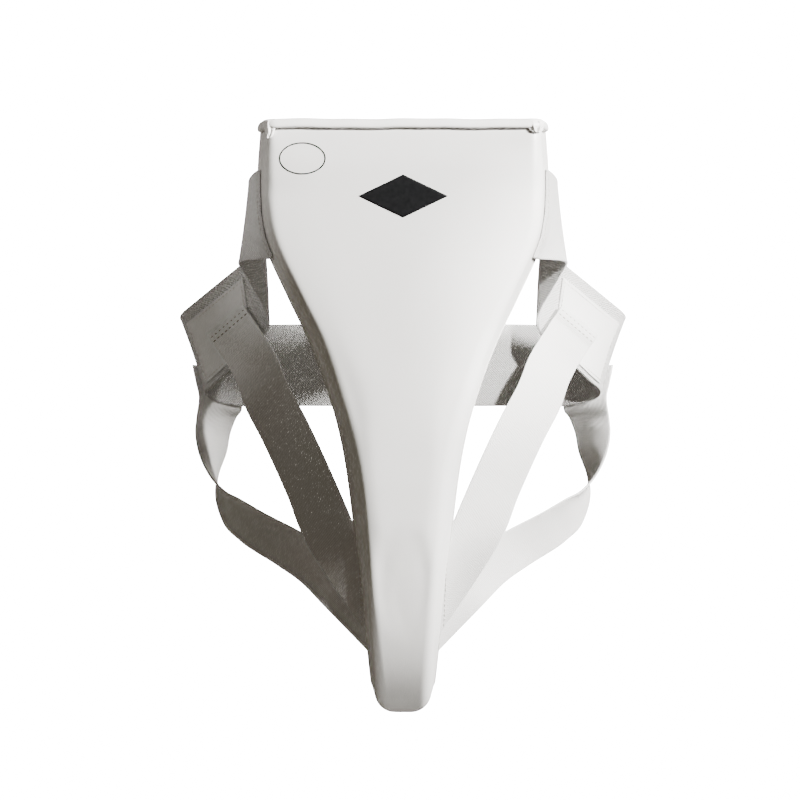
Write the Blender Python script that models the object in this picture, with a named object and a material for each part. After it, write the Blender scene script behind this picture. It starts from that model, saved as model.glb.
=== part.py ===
"""Groin protector for martial arts and boxing, in metres with +Z up.

A long padded front tapers to a tongue that curves back between the legs. An elastic waistband
runs behind it, and two elastic straps on each side run from the waistband to the tongue.

The origin lies on the flat back lining, on the centre line, at the middle of the height where
the waistband is sewn on. The wearer is behind it, at +Y, and the padded front faces -Y.
"""

import math

import bmesh
import bpy
from mathutils import Vector

# ---------------------------------------------------------------- driving dimensions

PAD_ABOVE_WAISTLINE = 0.0515
PAD_LENGTH = 0.3400
TAIL_LENGTH = 0.0970
PAD_TOP_WIDTH = 0.1650
PAD_TAIL_WIDTH = 0.0360
PAD_THICKNESS = 0.0200
TAIL_THICKNESS = 0.0150
TAIL_CURL = math.radians(52)
TAIL_END_RADIUS = 0.0140
SIDE_SLOPE = PAD_THICKNESS * 0.25
FRONT_EDGE_RADIUS = PAD_THICKNESS * 0.375
TOP_EDGE_DROP = PAD_THICKNESS * 0.15
TOP_EDGE_LENGTH = 0.0100

COVER_THICKNESS = 0.0014
COMFORT_FOAM_THICKNESS = 0.0055
LINING_THICKNESS = 0.0010
CLEARANCE = 0.0003

BINDING_THICKNESS = 0.0012
BINDING_DROP = 0.0040
BINDING_FOLD_LENGTH = 0.0070
BINDING_FOLD_ROWS = 3

BAND_WIDTH = 0.0500
BAND_THICKNESS = 0.0018
BAND_WALL_GAP = 0.0008
LOOP_HALF_WIDTH = 0.1350
LOOP_DEPTH = 0.1080
PATCH_THICKNESS = 0.0008
PATCH_HEIGHT = 0.0390

STRAP_WIDTH = 0.0290
STRAP_THICKNESS = 0.0014
THREAD_THICKNESS = 0.0006
THREAD_WIDTH = 0.0012
THREAD_MARGIN = 0.06
HIP_SEAM_PLACE = 0.0030
HIP_SEAM_SPACING = 0.0035
TONGUE_SEAM_PLACE = 0.0040
BAND_SEAM_PLACE = 0.0030

MARK_WIDTH = 0.0500
MARK_HEIGHT = 0.0240
MARK_ABOVE_WAISTLINE = 0.0090
BADGE_WIDTH = 0.0260
BADGE_HEIGHT = 0.0180
BADGE_LINE = 0.0016
BADGE_PLACE = (-0.0560, 0.0300)
PRINT_THICKNESS = 0.0003

# The outline from the top edge down: share of the length, and share of the way from the
# tail's width to the top's width.
OUTLINE = (
    (0.000, 0.970),
    (0.090, 1.000),
    (0.180, 0.970),
    (0.290, 0.730),
    (0.355, 0.565),
    (0.480, 0.330),
    (0.710, 0.135),
    (0.860, 0.055),
    (1.000, 0.000),
)

PAD_STATION_SPACING = 0.0085
RIBBON_STEP = 0.0060
EDGE_SEGMENTS = 5

SIDES = (("right", 1), ("left", -1))

# ---------------------------------------------------------------- small geometry helpers


def hermite(start, end, start_slope, end_slope, span, t):
    """Cubic between two points, with a slope at each."""
    return (
        start * (2 * t**3 - 3 * t**2 + 1)
        + start_slope * (span * (t**3 - 2 * t**2 + t))
        + end * (3 * t**2 - 2 * t**3)
        + end_slope * (span * (t**3 - t**2))
    )


def slopes_at(values, places):
    """Slope at each value from its neighbours, weighted by how near they are."""
    spans = [b - a for a, b in zip(places, places[1:])]
    rises = [(b - a) / span for a, b, span in zip(values, values[1:], spans)]
    inner = [
        (before * span_after + after * span_before) / (span_before + span_after)
        for before, after, span_before, span_after in zip(rises, rises[1:], spans, spans[1:])
    ]
    return [rises[0]] + inner + [rises[-1]]


def smooth_value(places, values, place):
    """Value of the smooth curve through (places, values) at one place."""
    slopes = slopes_at(values, places)
    last = len(places) - 2
    index = min(sum(place >= edge for edge in places[1:]), last)
    span = places[index + 1] - places[index]
    t = (place - places[index]) / span
    return hermite(values[index], values[index + 1], slopes[index], slopes[index + 1], span, t)


def add_object(name, points, faces, material):
    """One closed mesh object with its faces turned outwards."""
    mesh = bpy.data.meshes.new(name)
    shape = bmesh.new()
    made = [shape.verts.new(point) for point in points]
    for face in faces:
        shape.faces.new([made[index] for index in face])
    bmesh.ops.recalc_face_normals(shape, faces=shape.faces)
    bmesh.ops.triangulate(shape, faces=[face for face in shape.faces if len(face.verts) > 4])
    shape.to_mesh(mesh)
    shape.free()
    mesh.shade_smooth()
    mesh.set_sharp_from_angle(angle=math.radians(40))
    mesh.materials.append(material)
    item = bpy.data.objects.new(name, mesh)
    bpy.context.scene.collection.objects.link(item)
    return item


def loft(name, sections, material):
    """Closed solid through sections that all have the same number of points."""
    count = len(sections[0])
    points = [point for section in sections for point in section]
    faces = [list(range(count))]
    for row in range(len(sections) - 1):
        for column in range(count):
            nearer = row * count + column
            beside = row * count + (column + 1) % count
            faces.append([nearer, beside, beside + count, nearer + count])
    last = (len(sections) - 1) * count
    faces.append(list(range(last, last + count)))
    return add_object(name, points, faces, material)


def make_material(name, colour, roughness, sheen=0.0):
    material = bpy.data.materials.new(name)
    material.use_nodes = True
    shader = material.node_tree.nodes["Principled BSDF"]
    shader.inputs["Base Color"].default_value = (*colour, 1.0)
    shader.inputs["Roughness"].default_value = roughness
    shader.inputs["Metallic"].default_value = 0.0
    shader.inputs["Sheen Weight"].default_value = sheen
    return material


# ---------------------------------------------------------------- the pad's own frame

COVER_BACK = LINING_THICKNESS + CLEARANCE
PAD_STRAIGHT_LENGTH = PAD_LENGTH - TAIL_LENGTH
CURL_RADIUS = TAIL_LENGTH / TAIL_CURL


def spine(distance, depth):
    """(y, z) of a point at a distance down the lining and a depth in front of it."""
    if distance <= PAD_STRAIGHT_LENGTH:
        return -depth, PAD_ABOVE_WAISTLINE - distance
    turn = (distance - PAD_STRAIGHT_LENGTH) / CURL_RADIUS
    reach = CURL_RADIUS + depth
    bend_height = PAD_ABOVE_WAISTLINE - PAD_STRAIGHT_LENGTH
    return CURL_RADIUS - reach * math.cos(turn), bend_height - reach * math.sin(turn)


def pad_point(across, depth, distance):
    y, z = spine(distance, depth)
    return Vector((across, y, z))


def end_rounding(distance, radius, length):
    """How far a rounded end of this radius has drawn in at a distance down the pad."""
    past = distance - (length - radius)
    if past <= 0:
        return 0.0
    return radius - math.sqrt(max(radius**2 - past**2, 0.0))


def half_width(distance):
    places = [place for place, _ in OUTLINE]
    shares = [share for _, share in OUTLINE]
    share = smooth_value(places, shares, min(distance / PAD_LENGTH, 1.0))
    full = PAD_TAIL_WIDTH + (PAD_TOP_WIDTH - PAD_TAIL_WIDTH) * share
    return full / 2 - end_rounding(distance, TAIL_END_RADIUS, PAD_LENGTH)


def thickness(distance):
    """Cover's front face in front of its back rim, at a distance down the pad."""
    share = max(distance / PAD_LENGTH - 0.6, 0.0) / 0.4
    full = PAD_THICKNESS + (TAIL_THICKNESS - PAD_THICKNESS) * share
    top = max(1 - distance / TOP_EDGE_LENGTH, 0.0) ** 2 * TOP_EDGE_DROP
    return full - top - end_rounding(distance, FRONT_EDGE_RADIUS, PAD_LENGTH)


def pad_stations(length):
    """Distances down the pad, closer together where the tail rounds off."""
    top = [0.0, BINDING_DROP, TOP_EDGE_LENGTH]
    rounded = length - TAIL_END_RADIUS
    rows = round((rounded - TOP_EDGE_LENGTH) / PAD_STATION_SPACING)
    middle = [TOP_EDGE_LENGTH + (rounded - TOP_EDGE_LENGTH) * row / rows for row in range(1, rows + 1)]
    ends = [
        rounded + TAIL_END_RADIUS * math.sin(math.pi / 2 * row / EDGE_SEGMENTS)
        for row in range(1, EDGE_SEGMENTS + 1)
    ]
    return top + middle + ends


def front_outline(distance, inset, back, front_inset):
    """Open outline from the left back edge over the front to the right back edge.

    It is drawn in by inset at the sides and front_inset at the front, and starts at depth back.
    """
    half = half_width(distance) - inset
    front = COVER_BACK + thickness(distance) - front_inset
    radius = min(FRONT_EDGE_RADIUS - front_inset, half * 0.55, (front - back) * 0.9)
    slope = min(SIDE_SLOPE, half * 0.25)
    wall_top = front - radius
    lean = slope * (wall_top - back) / (COVER_BACK + PAD_THICKNESS - back)
    side = [(half, back), (half - lean * 0.35, (back + wall_top) / 2)]
    for step in range(EDGE_SEGMENTS + 1):
        angle = math.pi / 2 * step / EDGE_SEGMENTS
        across = half - lean - radius + radius * math.cos(angle)
        side.append((across, wall_top + radius * math.sin(angle)))
    left = [(-across, depth) for across, depth in side]
    return left + side[::-1]


# ---------------------------------------------------------------- the padded front


def make_front_cover(material):
    """Thin shell over the front and the sides, open at the back and at the top."""
    inner_length = PAD_LENGTH - COVER_THICKNESS
    outer = [
        [pad_point(across, depth, distance) for across, depth in front_outline(distance, 0, COVER_BACK, 0)]
        for distance in pad_stations(PAD_LENGTH)
    ]
    inner = [
        [
            pad_point(across, depth, distance * inner_length / PAD_LENGTH)
            for across, depth in front_outline(
                distance * inner_length / PAD_LENGTH, COVER_THICKNESS, COVER_BACK, COVER_THICKNESS
            )
        ]
        for distance in pad_stations(PAD_LENGTH)
    ]
    rows = len(outer)
    count = len(outer[0])
    points = [point for row in outer + inner for point in row]
    faces = []

    def index(layer, row, column):
        """Number of a point: layer 0 is the outside and layer 1 the inside."""
        return (layer * rows + row) * count + column

    for layer in (0, 1):
        for row in range(rows - 1):
            for column in range(count - 1):
                faces.append(
                    [
                        index(layer, row, column),
                        index(layer, row, column + 1),
                        index(layer, row + 1, column + 1),
                        index(layer, row + 1, column),
                    ]
                )
        faces.append([index(layer, rows - 1, column) for column in range(count)])
    for column in range(count - 1):
        beside = column + 1
        faces.append([index(0, 0, column), index(0, 0, beside), index(1, 0, beside), index(1, 0, column)])
    for column in (0, count - 1):
        for row in range(rows - 1):
            below = row + 1
            outside = [index(0, row, column), index(0, below, column)]
            faces.append(outside + [index(1, below, column), index(1, row, column)])
    end = rows - 1
    faces.append([index(0, end, 0), index(0, end, count - 1), index(1, end, count - 1), index(1, end, 0)])
    return add_object("front_cover", points, faces, material)


def make_slab(name, inset, back, front, material):
    """Flat layer between two depths, with the pad's outline drawn in by inset."""
    sections = []
    length = PAD_LENGTH - inset
    for distance in pad_stations(PAD_LENGTH):
        place = distance * length / PAD_LENGTH
        half = half_width(place) - inset
        corners = ((-half, back), (-half, front), (half, front), (half, back))
        sections.append([pad_point(across, depth, place) for across, depth in corners])
    return loft(name, sections, material)


def make_impact_foam(material):
    """Thick block that fills the cover in front of the comfort foam."""
    inset = COVER_THICKNESS + CLEARANCE
    back = COVER_BACK + COMFORT_FOAM_THICKNESS + CLEARANCE
    length = PAD_LENGTH - inset
    sections = []
    for distance in pad_stations(PAD_LENGTH):
        place = distance * length / PAD_LENGTH
        lean = SIDE_SLOPE * (back - COVER_BACK) / PAD_THICKNESS
        outline = front_outline(place, inset + min(lean, half_width(place) * 0.2), back, inset)
        sections.append([pad_point(across, depth, place) for across, depth in outline])
    return loft("impact_foam", sections, material)


def make_comfort_foam(material):
    """Thin soft layer between the impact foam and the lining."""
    inset = COVER_THICKNESS + CLEARANCE + SIDE_SLOPE * COMFORT_FOAM_THICKNESS / PAD_THICKNESS
    return make_slab("comfort_foam", inset, COVER_BACK, COVER_BACK + COMFORT_FOAM_THICKNESS, material)


def make_back_lining(material):
    """Fabric sheet that closes the pad's back and lies against the body."""
    return make_slab("back_lining", 0.0, 0.0, LINING_THICKNESS, material)


# ---------------------------------------------------------------- binding along the top edge


def binding_ring(distance, lift):
    """Closed outline round the padded front at one height, lifted off it on every side."""
    outline = front_outline(distance, -lift, -lift, -lift)
    return [pad_point(across, depth, distance) for across, depth in outline]


def make_top_binding(material):
    """Tape folded over the top edge, closed at both ends: a shallow lid with a skirt."""
    inner = CLEARANCE
    outer = CLEARANCE + BINDING_THICKNESS
    rings = [
        [point + Vector((0, 0, outer)) for point in binding_ring(0.0, outer)],
        binding_ring(BINDING_DROP, outer),
        binding_ring(BINDING_DROP, inner),
        [point + Vector((0, 0, inner)) for point in binding_ring(0.0, inner)],
    ]
    return loft("top_binding", rings, material)


def make_binding_fold(side, sign, material):
    """End of the binding, folded down round the front corner and tacked."""
    top = BINDING_DROP + CLEARANCE
    sections = []
    for row in range(BINDING_FOLD_ROWS + 1):
        distance = top + BINDING_FOLD_LENGTH * row / BINDING_FOLD_ROWS
        layers = []
        for lift in (CLEARANCE, CLEARANCE + BINDING_THICKNESS):
            outline = front_outline(distance, -lift, COVER_BACK, -lift)
            corner = outline[len(outline) // 2 :][: EDGE_SEGMENTS + 1]
            layers.append([pad_point(sign * across, depth, distance) for across, depth in corner])
        sections.append(layers[0] + layers[1][::-1])
    return loft(f"binding_fold_{side}", sections, material)


# ---------------------------------------------------------------- ribbons


class Ribbon:
    """A strap's middle surface: stations along it, each a row of points across it."""

    ACROSS = 5

    def __init__(self, stations):
        self.stations = stations
        middles = [row[len(row) // 2] for row in stations]
        self.places = [0.0]
        for before, after in zip(middles, middles[1:]):
            self.places.append(self.places[-1] + (after - before).length)
        self.slopes = [slopes_at(column, self.places) for column in zip(*stations)]

    def row(self, station):
        """Points across the strap at a station number, which may lie between two stations."""
        index = min(int(station), len(self.stations) - 2)
        span = self.places[index + 1] - self.places[index]
        t = station - index
        return [
            hermite(start, end, slope[index], slope[index + 1], span, t)
            for start, end, slope in zip(self.stations[index], self.stations[index + 1], self.slopes)
        ]

    def station_at(self, distance):
        """Station number at a distance along the strap from its first station."""
        index = 0
        while index < len(self.places) - 2 and self.places[index + 1] < distance:
            index += 1
        span = self.places[index + 1] - self.places[index]
        return index + (distance - self.places[index]) / span

    def samples(self, first, last):
        """Station numbers from first to last, about RIBBON_STEP apart along the strap."""
        numbers = [first]
        for index in range(int(first), math.ceil(last)):
            low = max(first, index)
            high = min(last, index + 1)
            span = (self.places[index + 1] - self.places[index]) * (high - low)
            steps = max(math.ceil(span / RIBBON_STEP), 2)
            numbers += [low + (high - low) * step / steps for step in range(1, steps + 1)]
        return numbers

    def surface(self, station, share):
        """(point, along, across, outwards) at a station and a share of the width from the top edge."""
        nudge = 0.02
        last = len(self.stations) - 1
        before = self.across_at(self.row(max(station - nudge, 0)), share)
        after = self.across_at(self.row(min(station + nudge, last)), share)
        row = self.row(station)
        upper = self.across_at(row, max(share - nudge, 0))
        lower = self.across_at(row, min(share + nudge, 1))
        along = (after - before).normalized()
        outwards = along.cross(upper - lower).normalized()
        return self.across_at(row, share), along, (lower - upper).normalized(), outwards

    @staticmethod
    def across_at(row, share):
        place = share * (len(row) - 1)
        index = min(int(place), len(row) - 2)
        return row[index].lerp(row[index + 1], place - index)

    def solid(self, name, thickness, material, first=None, last=None, top=0.0, bottom=1.0, lift=0.0):
        """Closed strip of this thickness, lifted outwards from the middle surface."""
        first = 0 if first is None else first
        last = len(self.stations) - 1 if last is None else last
        sections = []
        for number in self.samples(first, last):
            outer = []
            inner = []
            for column in range(self.ACROSS):
                share = top + (bottom - top) * column / (self.ACROSS - 1)
                point, _, _, outwards = self.surface(number, share)
                outer.append(point + outwards * (lift + thickness / 2))
                inner.append(point + outwards * (lift - thickness / 2))
            sections.append(outer + inner[::-1])
        return loft(name, sections, material)


def straight_row(middle, ruling, width):
    """Points straight across a strap, from the upper edge along the ruling."""
    count = Ribbon.ACROSS
    half = ruling * (width / 2)
    return [middle + half * (1 - 2 * column / (count - 1)) for column in range(count)]


def mirrored(row):
    return [Vector((-point.x, point.y, point.z)) for point in row]


def side_wall(distance, depth):
    """How far out the cover's side wall stands at a depth in front of the lining."""
    outline = front_outline(distance, 0, COVER_BACK, 0)
    side = outline[len(outline) // 2 :][::-1]
    for (near, low), (far, high) in zip(side, side[1:]):
        if depth <= high:
            share = max(depth - low, 0.0) / (high - low)
            return near + (far - near) * share
    return side[-1][0]


def wall_row(top, bottom, depth, lift):
    """Row of points down the pad's side wall between two distances, lifted outwards."""
    row = []
    for column in range(Ribbon.ACROSS):
        distance = top + (bottom - top) * column / (Ribbon.ACROSS - 1)
        row.append(pad_point(side_wall(distance, depth) + lift, depth, distance))
    return row


# ---------------------------------------------------------------- waistband

# Each station of the folded side: share of the pad's half width and of the loop's half width
# that place it sideways, share of the loop's depth, drop below the waistline, and the upward
# ruling across the band. The band leaves the pad, folds back on itself twice at the hip, and
# turns into the level stretch behind the body.
HIP_ROUTE = (
    (0.865, 0.135, 0.119, -0.0012, (-0.045, -0.02, 0.475)),
    (0.822, 0.178, 0.183, -0.0022, (-0.070, -0.02, 0.465)),
    (0.846, 0.154, 0.248, -0.0060, (-0.065, -0.02, 0.460)),
    (0.949, 0.051, 0.349, -0.0190, (-0.015, -0.04, 0.480)),
    (1.047, -0.047, 0.450, -0.0305, (0.030, -0.06, 0.510)),
    (1.075, -0.075, 0.495, -0.0360, (0.040, -0.02, 0.510)),
    (1.037, -0.037, 0.532, -0.0395, (0.040, 0.04, 0.510)),
    (0.925, 0.075, 0.546, -0.0440, (0.050, 0.09, 0.510)),
    (0.617, 0.383, 0.578, -0.0570, (0.100, 0.12, 0.485)),
    (0.336, 0.664, 0.651, -0.0695, (0.140, 0.10, 0.470)),
    (0.000, 0.938, 0.789, -0.0770, (0.160, 0.04, 0.450)),
    (0.000, 0.905, 0.899, -0.0805, (0.120, 0.02, 0.470)),
    (0.000, 0.785, 0.957, -0.0828, (0.040, 0.015, 0.495)),
    (0.000, 0.444, 0.988, -0.0830, (0.000, 0.005, 0.500)),
)
SEWN_DEPTHS = (0.0125, 0.0075, 0.0020)
HIP_STATION = len(SEWN_DEPTHS) + 8.05
PATCH_STATIONS = (len(SEWN_DEPTHS) + 7.35, len(SEWN_DEPTHS) + 9.55)
BACK_DROP = -0.0830


def make_band_path():
    """Whole waistband, from the pad's right side round the back to its left side."""
    top = PAD_ABOVE_WAISTLINE - BAND_WIDTH / 2
    bottom = PAD_ABOVE_WAISTLINE + BAND_WIDTH / 2
    lift = BAND_WALL_GAP + BAND_THICKNESS / 2
    right = [wall_row(top, bottom, depth, lift) for depth in SEWN_DEPTHS]
    pad_side = half_width(PAD_ABOVE_WAISTLINE)
    for pad_share, loop_share, depth_share, drop, ruling in HIP_ROUTE:
        across = pad_side * pad_share + LOOP_HALF_WIDTH * loop_share
        middle = Vector((across, LOOP_DEPTH * depth_share, drop))
        right.append(straight_row(middle, Vector(ruling) * 2, BAND_WIDTH))
    back = straight_row(Vector((0, LOOP_DEPTH, BACK_DROP)), Vector((0, 0, 1)), BAND_WIDTH)
    left = [mirrored(row) for row in right[::-1]]
    return Ribbon(right + [back] + left)


def make_waistband(band, material):
    return band.solid("waistband", BAND_THICKNESS, material)


def make_hip_patch(side, band, material):
    """Smooth patch sewn to the middle of the waistband's outer face, where a strap joins."""
    top = (1 - PATCH_HEIGHT / BAND_WIDTH) * 0.75
    bottom = top + PATCH_HEIGHT / BAND_WIDTH
    lift = (BAND_THICKNESS + PATCH_THICKNESS) / 2 + CLEARANCE
    first, last = PATCH_STATIONS
    if side == "left":
        end = len(band.stations) - 1
        first, last = end - last, end - first
    return band.solid(f"hip_patch_{side}", PATCH_THICKNESS, material, first, last, top, bottom, lift)


# ---------------------------------------------------------------- leg straps

# Free stations of each strap on the right: share of the way from the hip to the tongue, how
# far it stands off that straight line, and the direction across it from its inner edge.
FRONT_ROUTE = (
    (0.00, (-0.0056, -0.0050, -0.0095), (0.80, 0.20, -0.57)),
    (0.00, (-0.0117, -0.0115, -0.0248), (0.85, 0.15, -0.50)),
    (0.33, (0.0010, -0.0040, 0.0017), (0.88, 0.12, -0.45)),
    (0.57, (0.0016, -0.0067, 0.0016), (0.92, 0.10, -0.38)),
    (1.00, (0.0196, 0.0039, 0.0334), (0.93, 0.06, -0.35)),
)
REAR_ROUTE = (
    (0.00, (0.0027, 0.0037, -0.0086), (0.80, -0.60, 0.00)),
    (0.00, (0.0045, 0.0017, -0.0166), (0.70, -0.71, 0.00)),
    (0.00, (0.0041, -0.0043, -0.0303), (0.50, -0.86, -0.05)),
    (0.00, (0.0027, -0.0103, -0.0446), (0.05, -1.00, 0.00)),
    (0.26, (0.0226, 0.0084, -0.0220), (-0.25, -0.95, 0.17)),
    (0.34, (0.0224, 0.0080, -0.0219), (-0.37, -0.74, 0.56)),
    (0.43, (0.0190, 0.0086, -0.0188), (-0.49, -0.60, 0.63)),
    (0.58, (0.0091, 0.0078, -0.0125), (-0.55, -0.47, 0.69)),
    (1.00, (0.0302, 0.0287, 0.0303), (-0.60, -0.43, 0.67)),
    (1.00, (0.0167, 0.0117, 0.0197), (-0.60, -0.30, 0.72)),
)
# Ends of the straps' seams on the pad's sides, measured up from the tip of the tongue.
FRONT_SEWN_ABOVE_TIP = (0.1030, 0.0480)
REAR_SEWN_ABOVE_TIP = (0.0760, 0.0360)
FRONT_STRAP_DEPTH = 0.0026
REAR_STRAP_DEPTH = 0.0005
# A wider top makes the sides slant more, so the straps' ends need more room beside them.
STRAP_END_GAP = PAD_TOP_WIDTH * 0.0061
REAR_HIP_STATION = len(SEWN_DEPTHS) + 11.55


def across_strap(middle, direction, width=STRAP_WIDTH):
    return straight_row(Vector(middle), -Vector(direction).normalized(), width)


def free_rows(route, hip_row, tongue_row):
    """Rows of a strap's free stretch, hung between its last row at the hip and its row at the tongue."""
    hip = hip_row[len(hip_row) // 2]
    tongue = tongue_row[len(tongue_row) // 2]
    rows = []
    for share, stand_off, direction in route:
        rows.append(across_strap(hip.lerp(tongue, share) + Vector(stand_off), direction))
    return rows


def make_front_strap_path(band):
    """From the hip patch down to the side of the pad."""
    lift = BAND_THICKNESS / 2 + PATCH_THICKNESS + 2 * CLEARANCE + STRAP_THICKNESS / 2
    point, along, _, outwards = band.surface(HIP_STATION, 0.5)
    down = along.cross(outwards)
    stations = []
    for reach in (0.0, 0.008, 0.016, 0.025):
        stations.append(across_strap(point + outwards * lift + down * reach, along))
    top, bottom = [PAD_LENGTH - above_tip for above_tip in FRONT_SEWN_ABOVE_TIP]
    sewn = wall_row(top, bottom, FRONT_STRAP_DEPTH, STRAP_END_GAP)
    return Ribbon(stations + free_rows(FRONT_ROUTE, stations[-1], sewn) + [sewn])


def make_rear_strap_path(band):
    """From the outside of the band's back stretch, with half a twist, to the side of the pad."""
    lift = BAND_THICKNESS / 2 + 2 * CLEARANCE + STRAP_THICKNESS / 2
    stations = []
    for share in (0.55, 0.80, 1.0):
        point, along, _, outwards = band.surface(REAR_HIP_STATION, share)
        stations.append(across_strap(point + outwards * lift, -along))
    top, bottom = [PAD_LENGTH - above_tip for above_tip in REAR_SEWN_ABOVE_TIP]
    sewn = wall_row(bottom, top, REAR_STRAP_DEPTH, STRAP_END_GAP)
    return Ribbon(stations + free_rows(REAR_ROUTE, stations[-1], sewn) + [sewn])


def mirrored_path(path):
    return Ribbon([mirrored(row) for row in path.stations])


# ---------------------------------------------------------------- thread and prints


def make_thread(name, path, distance, under, face, material):
    """Line of thread across a strap, a distance along it, on one face of it."""
    lift = (under / 2 + CLEARANCE + THREAD_THICKNESS / 2) * face
    first = path.station_at(distance)
    last = path.station_at(distance + THREAD_WIDTH)
    path.solid(name, THREAD_THICKNESS, material, first, last, THREAD_MARGIN, 1 - THREAD_MARGIN, lift)


def make_front_mark(material):
    """Plain lozenge printed on the front."""
    front = COVER_BACK + PAD_THICKNESS + CLEARANCE
    corners = ((-0.5, 0), (0, 0.5), (0.5, 0), (0, -0.5))
    sections = []
    for depth in (front, front + PRINT_THICKNESS):
        sections.append(
            [
                Vector((across * MARK_WIDTH, -depth, MARK_ABOVE_WAISTLINE + up * MARK_HEIGHT))
                for across, up in corners
            ]
        )
    return loft("front_mark", sections, material)


def make_badge(material):
    """Thin oval ring printed beside the mark."""
    front = COVER_BACK + PAD_THICKNESS + CLEARANCE
    middle_x, middle_z = BADGE_PLACE
    turns = 40
    profile = (
        (0.0, front),
        (0.0, front + PRINT_THICKNESS),
        (BADGE_LINE, front + PRINT_THICKNESS),
        (BADGE_LINE, front),
    )
    points = []
    faces = []
    for turn in range(turns):
        angle = 2 * math.pi * turn / turns
        for inset, depth in profile:
            across = middle_x + (BADGE_WIDTH / 2 - inset) * math.cos(angle)
            up = middle_z + (BADGE_HEIGHT / 2 - inset) * math.sin(angle)
            points.append(Vector((across, -depth, up)))
        for column in range(4):
            here = turn * 4
            there = (turn + 1) % turns * 4
            faces.append([here + column, here + (column + 1) % 4, there + (column + 1) % 4, there + column])
    return add_object("front_badge", points, faces, material)


# ---------------------------------------------------------------- the whole object


def build():
    leather = make_material("white_coated_leather", (0.80, 0.79, 0.78), 0.35)
    lining = make_material("white_lining", (0.78, 0.77, 0.75), 0.85, sheen=0.3)
    firm_foam = make_material("firm_foam", (0.35, 0.36, 0.38), 0.9)
    soft_foam = make_material("soft_foam", (0.82, 0.80, 0.70), 0.9)
    tape = make_material("white_tape", (0.82, 0.81, 0.80), 0.5)
    elastic = make_material("white_elastic", (0.80, 0.79, 0.78), 0.8, sheen=0.3)
    patch_cloth = make_material("white_patch", (0.84, 0.83, 0.82), 0.7, sheen=0.2)
    webbing = make_material("white_webbing", (0.80, 0.79, 0.78), 0.8, sheen=0.3)
    thread = make_material("white_thread", (0.75, 0.74, 0.72), 0.6)
    ink = make_material("black_print", (0.01, 0.01, 0.011), 0.4)

    make_front_cover(leather)
    make_impact_foam(firm_foam)
    make_comfort_foam(soft_foam)
    make_back_lining(lining)
    make_top_binding(tape)
    make_front_mark(ink)
    make_badge(ink)

    band = make_band_path()
    make_waistband(band, elastic)
    front_right = make_front_strap_path(band)
    rear_right = make_rear_strap_path(band)
    band_length = band.places[-1]
    strap_length = front_right.places[-1]
    for side, sign in SIDES:
        front = front_right if side == "right" else mirrored_path(front_right)
        rear = rear_right if side == "right" else mirrored_path(rear_right)
        make_binding_fold(side, sign, tape)
        make_hip_patch(side, band, patch_cloth)
        front.solid(f"leg_strap_front_{side}", STRAP_THICKNESS, webbing)
        rear.solid(f"leg_strap_rear_{side}", STRAP_THICKNESS, webbing)
        # A mirrored strap's outward face is its other one, so the thread changes face with it.
        for name, distance in (("upper", HIP_SEAM_PLACE), ("lower", HIP_SEAM_PLACE + HIP_SEAM_SPACING)):
            make_thread(f"hip_seam_{name}_{side}", front, distance, STRAP_THICKNESS, -sign, thread)
        make_thread(f"rear_seam_{side}", rear, HIP_SEAM_PLACE, STRAP_THICKNESS, sign, thread)
        tongue = strap_length - TONGUE_SEAM_PLACE
        make_thread(f"tongue_seam_{side}", front, tongue, STRAP_THICKNESS, -sign, thread)
        edge = BAND_SEAM_PLACE if side == "right" else band_length - BAND_SEAM_PLACE
        make_thread(f"waistband_seam_{side}", band, edge, BAND_THICKNESS, 1, thread)


for old in list(bpy.data.objects):
    bpy.data.objects.remove(old, do_unlink=True)
build()
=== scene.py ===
# %% [markdown]
# # Groin protector, modelled as a visual lesson
#
# The object is a long padded front that tapers to a tongue. An elastic waistband runs behind it
# and two elastic straps on each side run from the waistband to the tongue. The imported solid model
# is the frame: every visible piece below is built in the same coordinates, in metres, with the
# wearer at +Y and the padded front facing -Y.

import math

import bpy
import numpy as np
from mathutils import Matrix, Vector
from mathutils.bvhtree import BVHTree


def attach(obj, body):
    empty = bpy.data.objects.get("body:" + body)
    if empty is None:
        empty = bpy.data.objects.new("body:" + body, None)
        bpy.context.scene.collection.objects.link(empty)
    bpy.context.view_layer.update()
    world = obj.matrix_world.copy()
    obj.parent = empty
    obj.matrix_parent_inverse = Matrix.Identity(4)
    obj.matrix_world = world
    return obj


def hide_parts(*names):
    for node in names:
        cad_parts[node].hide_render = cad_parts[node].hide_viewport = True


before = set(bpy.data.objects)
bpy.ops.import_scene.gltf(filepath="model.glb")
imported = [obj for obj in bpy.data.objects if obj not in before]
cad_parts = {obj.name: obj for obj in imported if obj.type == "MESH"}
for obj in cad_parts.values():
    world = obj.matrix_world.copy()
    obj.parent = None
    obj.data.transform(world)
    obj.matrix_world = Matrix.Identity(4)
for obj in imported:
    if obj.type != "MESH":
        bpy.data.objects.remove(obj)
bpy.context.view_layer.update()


# %% [markdown]
# ## The pad's own coordinates
#
# A point of the pad is given by how far it lies across, how deep it lies in front of the lining
# and how far down the lining it is. The lining runs straight down and then curls back in an arc,
# so one function, `pad_point`, turns the three into a position.

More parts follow.
